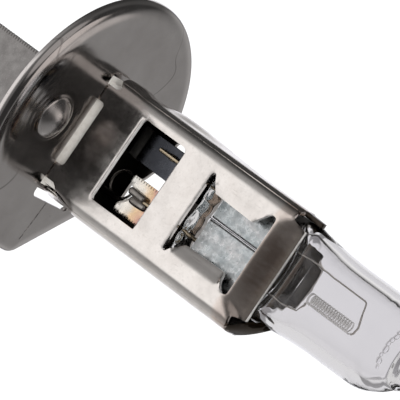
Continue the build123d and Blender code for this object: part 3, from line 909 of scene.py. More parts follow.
def front_deform(P, UZ, side):
    x, z = P[:, 0].copy(), P[:, 2].copy()
    # springs pressed in against the pinch
    ax = np.abs(x - 0.10)
    inz = smoothstep(13.30, 13.75, z) * (1 - smoothstep(18.35, 19.0, z))
    t = np.clip((3.80 - ax) / 1.42, 0, 1)
    ramp = np.where(t < 0.40, t * t / 0.80, t - 0.20) / 0.80
    depth = np.where(x > 0, 0.20, 0.70)
    P[:, 1] -= depth * inz * ramp
    # end of the front wall turning in over the glass shoulder; its corners stay square
    t = np.clip(z - 18.95 - 0.10 * np.clip(x, 0, 4), 0, None)
    drop = np.where(t < 1.3, 0.125 * t * t, 0.21125 + 0.325 * (t - 1.3) - 0.028 * (t - 1.3) ** 2)
    lo = 2.75 + 0.52 * np.clip(z - 19.6, 0, None)
    w = 1 - smoothstep(0.0, 1.0, (np.abs(x - CX - 0.0) - lo) / 1.30)
    P[:, 1] -= drop * w
    P[:, 2] -= 0.16 * drop * w
    # -X corner drawn in at the foot
    P[:, 0] += 0.42 * (1 - smoothstep(1.0, 3.8, z)) * smoothstep(4.7, 5.4, -(x - CX))
    # light pillowing of the flat wall, and hand-made unevenness
    P[:, 1] += 0.030 * np.cos(np.clip((x - CX) / 4.4, -1, 1) * math.pi / 2) * smoothstep(1.0, 4.0, z) - 0.030 * smoothstep(1.0, 4.0, z)
    P[:, 1] += 0.014 * np.sin(0.9 * x + 0.7) * np.sin(0.45 * z + 0.4) * smoothstep(1.5, 4.0, z)
    return P


V, F = flat_pattern(front_outline(), [win1(), win2()], 0.30)
front = sheet("sleeve_front", V, F, front_map, TH, front_deform)
bevel(front, 0.045, 2)


def assign_by(ob, fn, mats_n):
    idx = [fn(p.center / MM - Vector((SHIFT, 0, 0)), p.normal) for p in ob.data.polygons]
    ob.data.polygons.foreach_set("material_index", idx)


done(front, "sleeve_front_shell", [M["sleeve"], M["sleeve_in"], M["cut"]])


def front_side(c, n):
    if abs(c.x - CX) < FLATW + 0.2:
        if n.y < -0.55 and c.z < 22.0:
            return 1
        if n.z > 0.55 and n.y < 0.62 and (c.z < 6.0 or c.z > 21.0):
            return 2
        if n.z < -0.35 and c.z > 19.4:
            return 1
        return 0
    cx = CX + math.copysign(FLATW, c.x - CX)
    rad = math.hypot(c.x - cx, c.y - (HD - RC))
    return 1 if rad < RC - TH * 0.5 and abs(n.z) < 0.5 else 0


assign_by(front, front_side, 3)

# back shell: u runs from the +X seam, down the side, across the back and up the -X side
SEG = [("arc", RC * (math.pi / 2 - SEAM - 0.02)), ("side", 2 * (HD - RC)), ("arc", RC * math.pi / 2), ("back", 2 * FLATW), ("arc", RC * math.pi / 2),
       ("side", 2 * (HD - RC)), ("arc", RC * (math.pi / 2 - SEAM - 0.02))]
CUM = np.concatenate([[0], np.cumsum([s[1] for s in SEG])])
U_TOT = CUM[-1]
U_BACK0, U_BACK1 = CUM[3], CUM[4]
U_MID = (U_BACK0 + U_BACK1) / 2


def back_map(u, z):
    fy = HD - RC
    u = min(max(u, 0), U_TOT)
    i = min(int(np.searchsorted(CUM, u, side="right")) - 1, 6)
    s = u - CUM[i]
    if i == 0:
        th = SEAM + 0.02 + s / RC
        nx, ny = math.sin(th), math.cos(th)
        p = (FLATW + RC * nx, fy + RC * ny)
    elif i == 1:
        nx, ny = 1.0, 0.0
        p = (HW, fy - s)
    elif i == 2:
        th = math.pi / 2 + s / RC
        nx, ny = math.sin(th), math.cos(th)
        p = (FLATW + RC * nx, -fy + RC * ny)
    elif i == 3:
        nx, ny = 0.0, -1.0
        p = (FLATW - s, -HD)
    elif i == 4:
        th = math.pi + s / RC
        nx, ny = math.sin(th), math.cos(th)
        p = (-FLATW + RC * nx, -fy + RC * ny)
    elif i == 5:
        nx, ny = -1.0, 0.0
        p = (-HW, -fy + s)
    else:
        th = 1.5 * math.pi + s / RC
        nx, ny = math.sin(th), math.cos(th)
        p = (-FLATW + RC * nx, fy + RC * ny)
    return np.array([CX + p[0], p[1], z]), np.array([nx, ny, 0.0])


def back_outline():
    b = U_MID          # x = CX - (u - U_MID) on the back wall
    L0, L1 = LEG0, LEG1
    s1a, s1b = CUM[1], CUM[2]
    s5a, s5b = CUM[5], CUM[6]
    p = [
        (0.0, 0.62), (CUM[3] - 0.55, 0.62), (CUM[3] - 0.55, 0.62), (b - L1, 0.9), (b - L1, -1.55), (b - L0, -1.55), (b - L0, 1.3),
        (b + L0, 1.3), (b + L0, -1.55), (b + L1, -1.55), (b + L1, 0.9), (b + L1 + 0.45, 1.1), (CUM[4] + 0.5, -0.35), (CUM[6] - 0.12, -0.35), (CUM[6] + 0.14, 1.30), (U_TOT, 1.35),
        (U_TOT, 20.95), (U_TOT - 0.02, 21.9), (s5b + 0.62, 23.1), (s5b + 0.30, 24.25), (s5b + 0.05, 24.3), (s5a + 0.45, 22.5), (s5a + 0.1, 21.4), (s5a - 0.35, 21.0),
        (CUM[4] + 0.45, 20.9), (b + 4.2, 21.15), (b + 3.6, 22.0), (b + 2.7, 22.75), (b + 1.6, 23.2), (b + 0.5, 23.45), (b - 0.6, 23.55), (b - 1.6, 23.5), (b - 2.6, 23.35),
        (b - 3.70, 23.25), (b - 4.25, 21.2),
        (CUM[3] - 0.45, 20.9), (s1a + 0.42, 21.0), (s1a + 0.30, 22.95), (s1a - 0.35, 23.05), (s1a - 0.62, 21.3), (0.0, 20.95),
    ]
    q = [p[0]]
    for a in p[1:]:
        if math.hypot(a[0] - q[-1][0], a[1] - q[-1][1]) > 1e-3:
            q.append(a)
    return round_poly(q, 0.10, 4)


def back_windows():
    q = [(-3.35, 4.75), (-1.0, 4.75), (-0.25, 5.55), (0.7, 5.95), (3.5, 6.3), (3.5, 9.56), (-3.35, 9.56)]
    w1 = round_poly([(U_MID + CX - x, z) for x, z in reversed(q)], [0.4, 0.4, 0.2, 0.2, 0.2, 0.2, 0.3], 6)
    w2 = [(2 * U_MID - (U_MID + x), z) for x, z in win2()]
    return [w1, w2]


def back_deform(P, UZ, side):
    u, z = UZ[:, 0], UZ[:, 1]
    x = P[:, 0].copy()
    # +X side wall stands out a little near the flange end
    bulge = 0.50 * smoothstep(2.6, 6.4, z) * (1 - smoothstep(7.0, 17.0, z))
    wx = np.clip((0.55 - P[:, 1]) / 1.8, 0, 1) * (1 - smoothstep(CUM[3] - 0.3, CUM[3] + 1.5, u))
    P[:, 0] += bulge * wx
    foot = 0.24 * smoothstep(-0.2, 0.9, z) * (1 - smoothstep(2.0, 3.4, z)) * np.clip((1.6 - P[:, 1]) / 1.2, 0, 1)
    P[:, 0] += np.where(u < CUM[3] - 0.3, foot, 0)
    # rear wall opens over the glass shoulder
    onback = (u > U_BACK0 - 0.2) & (u < U_BACK1 + 0.2)
    t = np.clip(z - 20.7, 0, None)
    bowl = 0.30 * np.clip(1 - ((x - CX) / 4.3) ** 2, 0, 1) * smoothstep(20.0, 22.0, z)
    P[:, 1] -= np.where(onback, 0.30 * t + bowl, 0)
    P[:, 0] += 0.42 * (1 - smoothstep(1.0, 3.8, z)) * smoothstep(5.0, 5.6, -(x - CX)) * np.clip((P[:, 1] + 1.3) / 2.4, 0, 1)
    P[:, 0] -= 0.30 * (1 - smoothstep(0.2, 3.4, z)) * smoothstep(5.0, 5.6, -(x - CX)) * np.clip((-P[:, 1] + 0.2) / 2.0, 0, 1)
    # springs against the pinch
    ax = np.abs(x - 0.10)
    inz = smoothstep(13.25, 13.95, z) * (1 - smoothstep(18.0, 18.9, z))
    inx = np.clip((3.72 - ax) / 1.35, 0, 1)
    P[:, 1] += np.where(onback, 0.45 * inz * inx ** 1.45, 0)
    # side tabs fold in over the glass
    onl = (u > CUM[4] + 0.6)
    t = np.clip(z - 21.15, 0, None)
    P[:, 0] += np.where(onl, (0.50 + 0.22 * np.clip(P[:, 1] + 0.6, 0, 2)) * t, 0)
    P[:, 1] -= np.where(onl, 0.12 * t, 0)
    onr = (u < CUM[3] - 0.6)
    t = np.clip(z - 21.3, 0, None)
    P[:, 0] -= np.where(onr, 0.05 * t, 0)
    return P


V, F = flat_pattern(back_outline(), back_windows(), 0.30)
back = sheet("sleeve_back", V, F, back_map, TH, back_deform)
bevel(back, 0.045, 2)
done(back, "sleeve_back_shell", [M["sleeve"], M["sleeve_in"], M["cut"], M["flap_in"], M["tab"]])


def back_side(c, n):
    x, y = c.x - CX, c.y
    qx, qy = max(abs(x) - FLATW, 0), max(abs(y) - (HD - RC), 0)
    if abs(x) <= FLATW:
        dist = abs(y) - HD
        nn = -n.y
    elif abs(y) <= HD - RC:
        dist = abs(x) - HW
        nn = n.x * (1 if x > 0 else -1)
    else:
        dist = math.hypot(qx, qy) - RC
        nn = (n.x * math.copysign(qx, x) + n.y * math.copysign(qy, y)) / max(math.hypot(qx, qy), 1e-6)
    # index 3: painted shade on the inward faces of the opened rear wall
    if nn < -0.45 and abs(c.x - CX) < 4.4 and c.z >= 20.6:
        return 3
    if nn < -0.55 and c.z < 21.2:
        return 1
    # index 4: painted shade on the folded side tabs
    if c.z > 21.25 and abs(c.x - CX) > 3.2:
        return 4
    return 0


assign_by(back, back_side, 3)

# ------------------------------------------------------------------ glass capsule
GX = 0.60


def interp(z, tab):
    zs = [t[0] for t in tab]
    vs = [t[1] for t in tab]
    # monotone smooth interpolation
    i = int(np.clip(np.searchsorted(zs, z) - 1, 0, len(zs) - 2))
    t = (z - zs[i]) / (zs[i + 1] - zs[i])
    t = min(max(t, 0), 1)
    h = zs[i + 1] - zs[i]

    def slope(k):
        if k == 0 or k == len(zs) - 1:
            return 0.0
        a = (vs[k] - vs[k - 1]) / (zs[k] - zs[k - 1])
        b = (vs[k + 1] - vs[k]) / (zs[k + 1] - zs[k])
        return 0.0 if a * b <= 0 else 2 * a * b / (a + b)
    m0, m1 = slope(i), slope(i + 1)
    return ((2 * t ** 3 - 3 * t ** 2 + 1) * vs[i] + (t ** 3 - 2 * t ** 2 + t) * h * m0 + (-2 * t ** 3 + 3 * t ** 2) * vs[i + 1] + (t ** 3 - t ** 2) * h * m1)


A_OUT = [(12.6, 4.40), (13.2, 4.50), (20.5, 4.55), (22.2, 4.60), (23.6, 4.40), (25.4, 4.20), (26.8, 4.10), (28.4, 4.04), (32.2, 4.03)]
B_OUT = [(12.6, 0.92), (12.95, 1.16), (13.6, 1.16), (14.15, 0.92), (21.2, 0.92), (22.2, 1.16), (23.2, 1.80), (24.3, 2.72), (25.4, 3.46), (26.6, 3.90), (27.8, 4.03), (32.2, 4.03)]
A_IN = [(21.30, 1.20), (21.42, 2.70), (21.75, 3.45), (22.3, 3.66), (23.6, 3.46), (25.4, 3.27), (26.8, 3.18), (28.4, 3.13), (32.0, 3.12)]
B_IN = [(21.30, 0.08), (21.45, 0.22), (21.80, 0.36), (22.40, 0.60), (23.3, 1.15), (24.4, 1.98), (25.5, 2.64), (26.7, 3.01), (27.9, 3.12), (32.0, 3.12)]


def morph_ring(z, a, b, q, e, n):
    """Rounded rectangle of the pinch turning into the round tube, q from 0 to 1."""
    R0 = even_ring(lambda m: super_ring(z, a, b, e, m), n)
    t = np.arctan2(R0[:, 1] / b, (R0[:, 0] - GX) / a)
    C = np.column_stack([GX + a * np.cos(t), b * np.sin(t), np.full(n, z)])
    return R0 * (1 - q) + C * q


def shoulder(V):
    """The pinch runs into the tube along an arc, further forward in the middle."""
    z = V[:, 2]
    k = np.clip(1 - ((V[:, 0] - GX) / 4.3) ** 2, 0, 1)
    V[:, 2] = z + 0.95 * k * np.exp(-((z - 22.1) / 0.95) ** 2)
    return V


def witness_lines(V):
    """Two fine arcs left on the front of the shoulder by the pressing jaws."""
    k = 1 - ((V[:, 0] - GX + 0.15) / 4.15) ** 2
    lift = np.zeros(len(V))
    for z0, rise, h, w in ((21.55, 1.15, 0.050, 0.085), (21.75, 1.62, 0.038, 0.075)):
        lift += h * np.exp(-((V[:, 2] - z0 - rise * k) / w) ** 2) * (k > 0)
    V[:, 1] += np.where(V[:, 1] > 0.3, lift, 0)
    return V


def super_ring(z, a, b, e, n=144, cx=GX):
    t = np.linspace(0, 2 * np.pi, n, endpoint=False)
    c, s = np.cos(t), np.sin(t)
    k = 2.0 / e
    x = cx + a * np.sign(c) * np.abs(c) ** k
    y = b * np.sign(s) * np.abs(s) ** k
    return np.column_stack([x, y, np.full(n, z)])


def profile_ring(r, z, n=144):
    t = np.linspace(0, 2 * np.pi, n, endpoint=False)
    return np.column_stack([GX + r * np.cos(t), r * np.sin(t), np.full(n, z)])


def even_ring(ring_fn, n):
    """Re-spaces a superellipse ring so that its corners keep enough points."""
    R = ring_fn(720)
    d = np.linalg.norm(np.roll(R, -1, 0) - R, axis=1)
    s = np.concatenate([[0], np.cumsum(d)])
    want = np.linspace(0, s[-1], n, endpoint=False)
    RR = np.vstack([R, R[:1]])
    return np.column_stack([np.interp(want, s, RR[:, k]) for k in range(3)])


def build_glass():
    n = 200
    rings = []
    # uneven rear end of the pinch
    zs = [12.6, 12.66, 12.78, 12.95] + list(np.arange(13.2, 21.0, 0.4)) + list(np.arange(21.0, 23.4, 0.04)) + list(np.arange(23.4, 28.4, 0.16)) + list(np.arange(28.4, 32.21, 0.35))
    for z in zs:
        a, b, q = interp(z, A_OUT), interp(z, B_OUT), float(smoothstep(20.8, 25.6, z))
        if z < 12.7:
            a, b = a - 0.12 * (12.7 - z) / 0.1, b - 0.12 * (12.7 - z) / 0.1
        rings.append(morph_ring(z, a, b, q, 6.0, n))
    # dome, then the sealed exhaust tip
    DOME = [(32.2, 4.03), (32.8, 3.97), (33.3, 3.85), (34.1, 3.50), (34.8, 3.08), (35.2, 2.74), (35.42, 2.46), (35.56, 2.37), (35.74, 2.38), (36.0, 2.22), (36.35, 1.78)]
    prof = [(interp(z, DOME), z) for z in list(np.linspace(32.35, 35.2, 20)) + list(np.linspace(35.24, 36.35, 24))]
    prof += [(1.52, 36.50), (1.34, 36.60), (1.27, 36.72), (1.25, 36.86), (1.18, 37.02), (1.00, 37.16), (0.70, 37.25), (0.35, 37.29)]
    for r, z in prof:
        rings.append(profile_ring(r, z, n))
    verts, faces = ring_loft(rings)
    # waviness of pressed quartz at the rear end
    V = np.array(verts)
    low = V[:, 2] < 12.64
    for i in np.where(low)[0]:
        V[i, 2] += 0.25 * noise.noise(Vector((V[i, 0] * 1.1, V[i, 1] * 1.7, 3.3)))
    for i in np.where(V[:, 2] < 14.2)[0]:
        k = 1 - float(smoothstep(13.4, 14.2, V[i, 2]))
        q = Vector((V[i, 0] * 1.3, V[i, 2] * 1.6, 7.0 if V[i, 1] > 0 else 11.0))
        V[i, 1] += math.copysign(1, V[i, 1]) * k * 0.20 * noise.noise(q) * min(1.0, abs(V[i, 1]) / 0.5)
    nb = len(V)
    # pressed faces of the pinch are not quite flat
    for i in range(nb):
        z = V[i, 2]
        if 12.9 < z < 21.8:
            w = math.sin((z - 12.9) / 8.9 * math.pi) ** 0.5
            V[i, 1] += math.copysign(1, V[i, 1]) * w * 0.035 * noise.noise(Vector((V[i, 0] * 0.8, z * 0.7, V[i, 1])))
    # cavity, wound the other way
    inr = []
    for z in [21.30, 21.33, 21.38] + list(np.arange(21.45, 27.7, 0.13)) + list(np.linspace(27.8, 32.0, 9)):
        inr.append(morph_ring(z, interp(z, A_IN), interp(z, B_IN), float(smoothstep(21.6, 25.6, z)), 3.4, n))
    CAV = [(32.0, 3.12), (32.7, 3.06), (33.3, 2.92), (33.8, 2.68), (34.3, 2.34), (34.8, 1.90), (35.15, 1.50), (35.4, 1.10), (35.6, 0.70), (35.9, 0.50), (36.2, 0.40), (36.42, 0.26), (36.48, 0.10)]
    for z in list(np.linspace(32.15, 35.3, 44)) + list(np.linspace(35.34, 35.7, 16)) + list(np.linspace(35.76, 36.48, 12)):
        R = profile_ring(interp(z, CAV), z, n)
        inr.append(R)
    v2, f2 = ring_loft(inr)
    o = len(V)
    V = np.vstack([witness_lines(shoulder(np.array(V))), shoulder(np.array(v2))])
    faces = faces + [tuple(int(i) + o for i in f[::-1]) for f in f2]
    ob = make_mesh("quartz", V, faces)
    smooth_all(ob.data)
    # the outside must face out, the cavity inwards
    bm = bmesh.new()
    bm.from_mesh(ob.data)
    vol = bm.calc_volume(signed=True)
    if vol < 0:
        bmesh.ops.reverse_faces(bm, faces=bm.faces)
    bm.to_mesh(ob.data)
    bm.free()
    return done(ob, "quartz_envelope", M["glass"])


glass = build_glass()


def drops():
    """Row of small quartz drops inside the dome, where the tube was drawn off."""
    V, Fc = [], []
    nu, nv = 24, 14
    for i in range(9):
        th = 0.60 + 0.20 * i + 0.03 * math.sin(i * 7.3)
        r = 0.20 + 0.06 * math.sin(i * 2.9 + 0.6)
        z = 34.22 + 0.05 * math.sin(i * 4.1)
        rad = np.array([math.cos(th), math.sin(th), 0.0])
        tan = np.array([-math.sin(th), math.cos(th), 0.0])
        c = np.array([GX, 0.0, z]) + rad * (2.36 - 0.85 * r)
        o = len(V)
        for j in range(1, nv):
            p = math.pi * j / nv
            for k in range(nu):
                a = 2 * math.pi * k / nu
                V.append(c + r * (rad * 0.8 * math.sin(p) * math.cos(a) + np.array([0, 0, 0.95]) * math.sin(p) * math.sin(a)) + tan * r * (1.25 + 0.2 * math.sin(i * 1.7)) * math.cos(p))
        e = 1.25 + 0.2 * math.sin(i * 1.7)
        V += [c + tan * r * e, c - tan * r * e]
        for j in range(nv - 2):
            for k in range(nu):
                q = (k + 1) % nu
                Fc.append((o + j * nu + k, o + j * nu + q, o + (j + 1) * nu + q, o + (j + 1) * nu + k))
        for k in range(nu):
            q = (k + 1) % nu
            Fc.append((len(V) - 2, o + q, o + k))
            Fc.append((len(V) - 1, o + (nv - 2) * nu + k, o + (nv - 2) * nu + q))
    ob = make_mesh("quartz_drops", V, Fc)
    fix_normals(ob)
    smooth_all(ob.data)
    return done(ob, None, M["glass"])


drops()

# ------------------------------------------------------------------ foils, leads, coil
def foil(name, node, x0, x1, bow):
    n, m = 60, 60
    top, bot = [], []
    for j in range(m + 1):
        z = 13.95 + (20.58 - 13.95) * j / m
        for i in range(n + 1):
            t = i / n
            x = x0 + (x1 - x0) * t
            y = 0.012 * noise.noise(Vector((x * 2.2, z * 1.1, bow)))
            y -= 0.10 * (max(0.0, 1 - t / 0.05) ** 2 + max(0.0, 1 - (1 - t) / 0.05) ** 2)
            edge = 0.024 * math.sin(math.pi * t) ** 0.35
            top.append((x, y + 0.004 + edge * 0.9, z))
            bot.append((x, y - 0.004 - edge * 0.9, z))
    F = []
    w = n + 1
    o = len(top)
    for j in range(m):
        for i in range(n):
            a = j * w + i
            F.append((a, a + 1, a + w + 1, a + w))
            F.append((o + a, o + a + w, o + a + w + 1, o + a + 1))
    for j in range(m):
        a, b = j * w, (j + 1) * w
        F.append((a, b, o + b, o + a))
        F.append((a + n, o + a + n, o + b + n, b + n))
    for i in range(n):
        F.append((i, o + i, o + i + 1, i + 1))
        k = m * w + i
        F.append((k, k + 1, o + k + 1, o + k))
    ob = make_mesh(name, top + bot, F)
    fix_normals(ob)
    sharpen(ob, 60)
    return done(ob, node, M["foil"])


foil("foil_live", "live_foil", -3.45, 0.545, 1.0)
foil("foil_ground", "ground_foil", 0.70, 4.05, 5.0)


def seam():
    """Dark strip in the quartz between the foils: painted shade along the foil edge."""
    rings = []
    for k in range(41):
        z = 13.85 + 6.9 * k / 40
        x = 0.622 + 0.02 * math.sin(z * 0.8) + 0.012 * noise.noise(Vector((z, 3.0, 1.0)))
        w = 0.030 * (1 + 0.5 * noise.noise(Vector((z * 1.7, 8.0, 1.0))))
        rings.append(np.array([(x - w, -0.05, z), (x + w, -0.05, z), (x + w, 0.05, z), (x - w, 0.05, z)]))
    v, f = ring_loft(rings)
    ob = make_mesh("foil_edge_shade_strip", v, f)
    fix_normals(ob)
    return done(ob, None, M["sleeve_in"])


seam()

LR = 0.068
long_pts = fillet_path([(2.55, 0.16, 19.8), (2.52, 0.16, 23.5), (2.46, 0.16, 29.85), (0.45, 0.10, 30.36), (-0.12, 0.06, 30.26), (-0.30, 0.04, 30.14)], [3.0, 0.32, 0.6, 0.2])
done(wire("lead_long", long_pts, LR), "long_lead_wire", M["wire"])
short_pts = fillet_path([(-1.62, 0.16, 19.8), (-1.44, 0.16, 23.9), (-1.30, 0.14, 25.10), (-0.62, 0.04, 25.38), (-0.40, 0.0, 25.34)], [2.0, 0.22, 0.2])
done(wire("lead_short", short_pts, LR * 0.92), "short_lead_wire", M["wire"])


def coil_points():
    pts = []
    cx, z0, z1, R, turns = 0.10, 25.36, 29.88, 0.47, 18
    N = turns * 30
    for i in range(N + 1):
        t = i / N
        a = 2 * math.pi * turns * t + math.pi
        pts.append((cx + R * math.cos(a), R * math.sin(a), z0 + (z1 - z0) * t))
    head = [(-0.50, 0.0, 25.30), (-0.42, 0.0, 25.32)]
    e = pts[-1]
    tail = [(e[0] - 0.01, e[1] + 0.05, e[2] + 0.07), (e[0] + 0.05, e[1] + 0.06, e[2] + 0.18), (e[0] + 0.20, 0.06, 30.20)]
    return head + pts + tail


coil = wire("filament", coil_points(), 0.066, bevel_res=4)
done(coil, "filament_coil", M["tungsten"])

done(wire("pin_live", fillet_path([(-1.66, 0.16, 7.55), (-1.60, 0.25, 11.4), (-1.60, -0.26, 13.2), (-1.58, -0.28, 15.4)], 1.0), 0.19), "live_outer_pin", M["pin"])
done(wire("pin_ground", fillet_path([(2.62, 0.25, 6.5), (2.62, 0.25, 11.4), (2.62, -0.26, 13.2), (2.60, -0.28, 15.4)], 1.0), 0.20), "ground_outer_pin", M["pin"])


# ------------------------------------------------------------------ straps
def combed(p0, p1, pitch, depth, side):
    """Points along an edge with sheared ridges; side is the outward unit normal."""
    p0, p1 = np.array(p0, float), np.array(p1, float)
    L = np.linalg.norm(p1 - p0)
    n = max(2, int(L / pitch))
    out = []
    for i in range(n):
        a, b, c = i / n, (i + 0.45) / n, (i + 0.62) / n
        j = 1 + 0.25 * math.sin(i * 2.3)
        out.append(tuple(p0 + (p1 - p0) * a - np.array(side) * depth * j))
        out.append(tuple(p0 + (p1 - p0) * b))
        out.append(tuple(p0 + (p1 - p0) * c))
    return out


def plate_from(name, outline, holes, y0, y1, step=0.5, deform=None, bev=0.03):
    V, F = flat_pattern(outline, holes, step, edge_step=0.25)

    def mp(u, z):
        return np.array([u, y1, z]), np.array([0.0, 1.0, 0.0])
    ob = sheet(name, V, F, mp, y1 - y0, deform)
    bevel(ob, bev, 2)
    return ob


x0, x1 = -3.62, -0.22
ls = [(x0 + 0.06, 5.66), (-2.95, 5.62), (-2.35, 6.18), (-1.95, 6.50), (-1.70, 6.54), (-1.45, 6.42), (-1.12, 6.02), (-0.80, 5.62), (x1 - 0.06, 5.66)]
ls += combed((x1, 5.8), (x1, 12.15), 0.27, 0.03, (1, 0))
ls += [(x1 - 0.1, 12.2), (x0 + 0.1, 12.2)]
ls += combed((x0, 12.1), (x0, 5.8), 0.27, 0.03, (-1, 0))


def strap_deform(P, UZ, side):
    x, z = P[:, 0], P[:, 2]
    P[:, 1] += 0.012 * np.sin((x + 1.9) * 1.7) + 0.02 * ((x + 1.9) / 1.7) ** 2 + 0.0125 * np.clip(8.2 - z, 0, None) ** 2
    return P


strap = plate_from("strap_live", ls, [], -0.35, -0.10, 0.35, strap_deform)
done(strap, "live_strap", M["strap"])


def strap_path(z):
    return z


def build_ground_strap():
    xa, xb = 0.76, 3.48
    prof = fillet_path([(0, -0.225, 12.2), (0, -0.225, 4.85), (0, -1.50, 3.20), (0, -1.50, 1.75)], [0.5, 0.5], 6)
    prof = [(p[1], p[2]) for p in prof]
    dens = [prof[0]]
    for q in prof[1:]:
        a = dens[-1]
        L = math.hypot(q[0] - a[0], q[1] - a[1])
        k = max(1, int(L / 0.3))
        dens += [(a[0] + (q[0] - a[0]) * i / k, a[1] + (q[1] - a[1]) * i / k) for i in range(1, k + 1)]
    P = np.array(dens)
    T = np.gradient(P, axis=0)
    T /= np.linalg.norm(T, axis=1)[:, None]
    Nn = np.column_stack([-T[:, 1], T[:, 0]])
    if Nn[0, 0] < 0:
        Nn = -Nn
    rings = []
    h = 0.125
    for (y, z), (ny, nz) in zip(P, Nn):
        ring = []
        for (x, s) in [(xa + 0.04, 1), (xb - 0.04, 1), (xb, 0.75), (xb, -0.75), (xb - 0.04, -1), (xa + 0.04, -1), (xa, -0.75), (xa, 0.75)]:
            ring.append((x, y + ny * h * s, z + nz * h * s))
        rings.append(np.array(ring))
    v, f = ring_loft(rings)
    ob = make_mesh("strap_ground", v, f)
    fix_normals(ob)
    sharpen(ob, 35)
    return done(ob, "ground_strap", M["strap_dark"])


# bluish near-black ground strap inside the sleeve: painted shade
M["strap_dark"] = metal("ground_strip_painted_shade", (0.085, 0.09, 0.105), 0.3, 0.28, 0.08, (7000, 0.3), ((8000, 8000, 2000), 0.15))
# black for the bent lower part of the ground strap: painted shade
M["strap_black"] = metal("strap_bend_painted_black", (0.012, 0.011, 0.011), 0.3, 0.40, 0.08, (7000, 0.3), None)
gs = build_ground_strap()
gs.data.materials.append(M["strap_black"])
# below z 4.95 mm the ground strap takes the painted-shade black
assign_by(gs, lambda c, n: 1 if c.z < 4.95 else 0, 2)


def build_crimp():
    """Two rolled wings of a crimp closed over the pin."""
    parts = []
    obs = []
    for sx, ph in ((-1, 0.3), (1, 1.7)):
        rings = []
        for k in range(19):
            t = k / 18
            z = (6.25 if sx > 0 else 6.75) + 1.70 * t
            r = 0.305 * (1 - 0.16 * (abs(2 * t - 1)) ** 6) * (1 + 0.05 * math.sin(5 * t + ph))
            if k in (0, 18):
                r *= 0.8
            a = np.linspace(0, 2 * np.pi, 28, endpoint=False)
            cx = -1.74 + sx * (0.275 + 0.03 * math.sin(3 * t + ph))
            ring = np.column_stack([cx + r * 1.05 * np.cos(a), 0.28 + r * 0.95 * np.sin(a), np.full(28, z)])
            rings.append(ring)
        v, f = ring_loft(rings)
        obs.append((np.array(v), f))
    V = np.vstack([obs[0][0], obs[1][0]])
    Fs = list(obs[0][1]) + [tuple(i + len(obs[0][0]) for i in f) for f in obs[1][1]]
    ob = make_mesh("crimp", V, Fs)
    fix_normals(ob)
    sharpen(ob, 50)
    return done(ob, "live_crimp", M["weld"])


build_crimp()


def pinch_backing():
    """Rolled lip of the rear spring behind the end of the pinch."""
    n, m = 46, 12
    V, Fc = [], []
    for i in range(n + 1):
        x = -1.35 + 4.9 * i / n
        for j in range(m):
            b = 2 * math.pi * j / m
            w = 0.5 * noise.noise(Vector((x * 1.3, 2.0, 5.0)))
            V.append((x, -1.42 + (0.20 + 0.05 * w) * math.sin(b), 12.15 + 0.18 * w + (0.66 + 0.12 * w) * math.cos(b)))
    for i in range(n):
        for j in range(m):
            k = (j + 1) % m
            Fc.append((i * m + j, i * m + k, (i + 1) * m + k, (i + 1) * m + j))
    Fc.append(tuple(range(m))[::-1])
    Fc.append(tuple(n * m + j for j in range(m)))
    ob = make_mesh("pinch_backing", V, Fc)
    fix_normals(ob)
    smooth_all(ob.data)
    return done(ob, None, M["brown"])


M["brown"] = metal("tempered_lip", (0.50, 0.40, 0.32), 0.35, 0.20, 0.06, (5000, 0.2), None, wave=(1400, 0.7))
pinch_backing()


def nuggets():
    bm = bmesh.new()
    for x, z in ((2.62, 7.75), (2.62, 9.95), (-1.60, 10.55)):
        big = 1.0 if z < 8 else 0.0
        m = Matrix.Translation(Vector(((x + SHIFT) * MM, (0.02 + 0.10 * big) * MM, z * MM))) @ Matrix.Diagonal(((0.30 - 0.03 * big) * MM, (0.10 + 0.06 * big) * MM, (0.40 + 0.25 * big) * MM, 1))
        bmesh.ops.create_icosphere(bm, subdivisions=4, radius=1.0, matrix=m)
    for v in bm.verts:
        k = noise.noise(v.co * 2500) * 0.03 * MM
        v.co += v.co.normalized() * 0 + Vector((k, k * 0.4, k))
    me = bpy.data.meshes.new("weld_nuggets")
    bm.to_mesh(me)
    bm.free()
    ob = link(bpy.data.objects.new("weld_nuggets", me))
    smooth_all(me)
    return done(ob, "strap_welds", M["pin"])


nuggets()
link_pts = fillet_path([(-2.0, -0.65, -4.0), (-2.0, -0.65, 1.6), (-2.75, -0.72, 3.4), (-2.75, -0.66, 9.0)], 0.8)
done(wire("link_wire_piece", link_pts, 0.295), "link_wire", M["sleeve_in"])



def eyelet():
    """Eyelet round the link wire, lying on the rear wall."""
    n, m = 56, 14
    V, Fc = [], []
    for i in range(n):
        a = 2 * math.pi * i / n
        for j in range(m):
            b = 2 * math.pi * j / m
            rr = 1.16 + 0.115 * math.cos(b)
            V.append((-1.62 + rr * math.cos(a), -1.53 + 0.11 * math.sin(b), 4.32 + rr * math.sin(a)))
            k, l = (i + 1) % n, (j + 1) % m
            Fc.append((i * m + j, k * m + j, k * m + l, i * m + l))
    ob = make_mesh("eyelet", V, Fc)
    fix_normals(ob)
    return done(ob, None, M["weld"])


eyelet()

# ------------------------------------------------------------------ terminal, insulator, cup
BY0, BY1 = -0.80, 0.0
bw = 3.15
out = [(-bw + 1.0, -16.8), (bw - 1.0, -16.8), (bw - 0.15, -15.9)]
out += combed((bw, -15.75), (bw, -7.42), 0.30, 0.05, (1, 0))
out += [(2.75, -7.36), (2.75, -4.0), (-2.75, -4.0), (-2.75, -7.36)]
out += combed((-bw, -7.42), (-bw, -15.75), 0.30, 0.05, (-1, 0))
out += [(-bw + 0.15, -15.9)]
hole = [(0.9 * math.cos(a), -12.6 + 0.9 * math.sin(a)) for a in np.linspace(0, 2 * math.pi, 48, endpoint=False)]


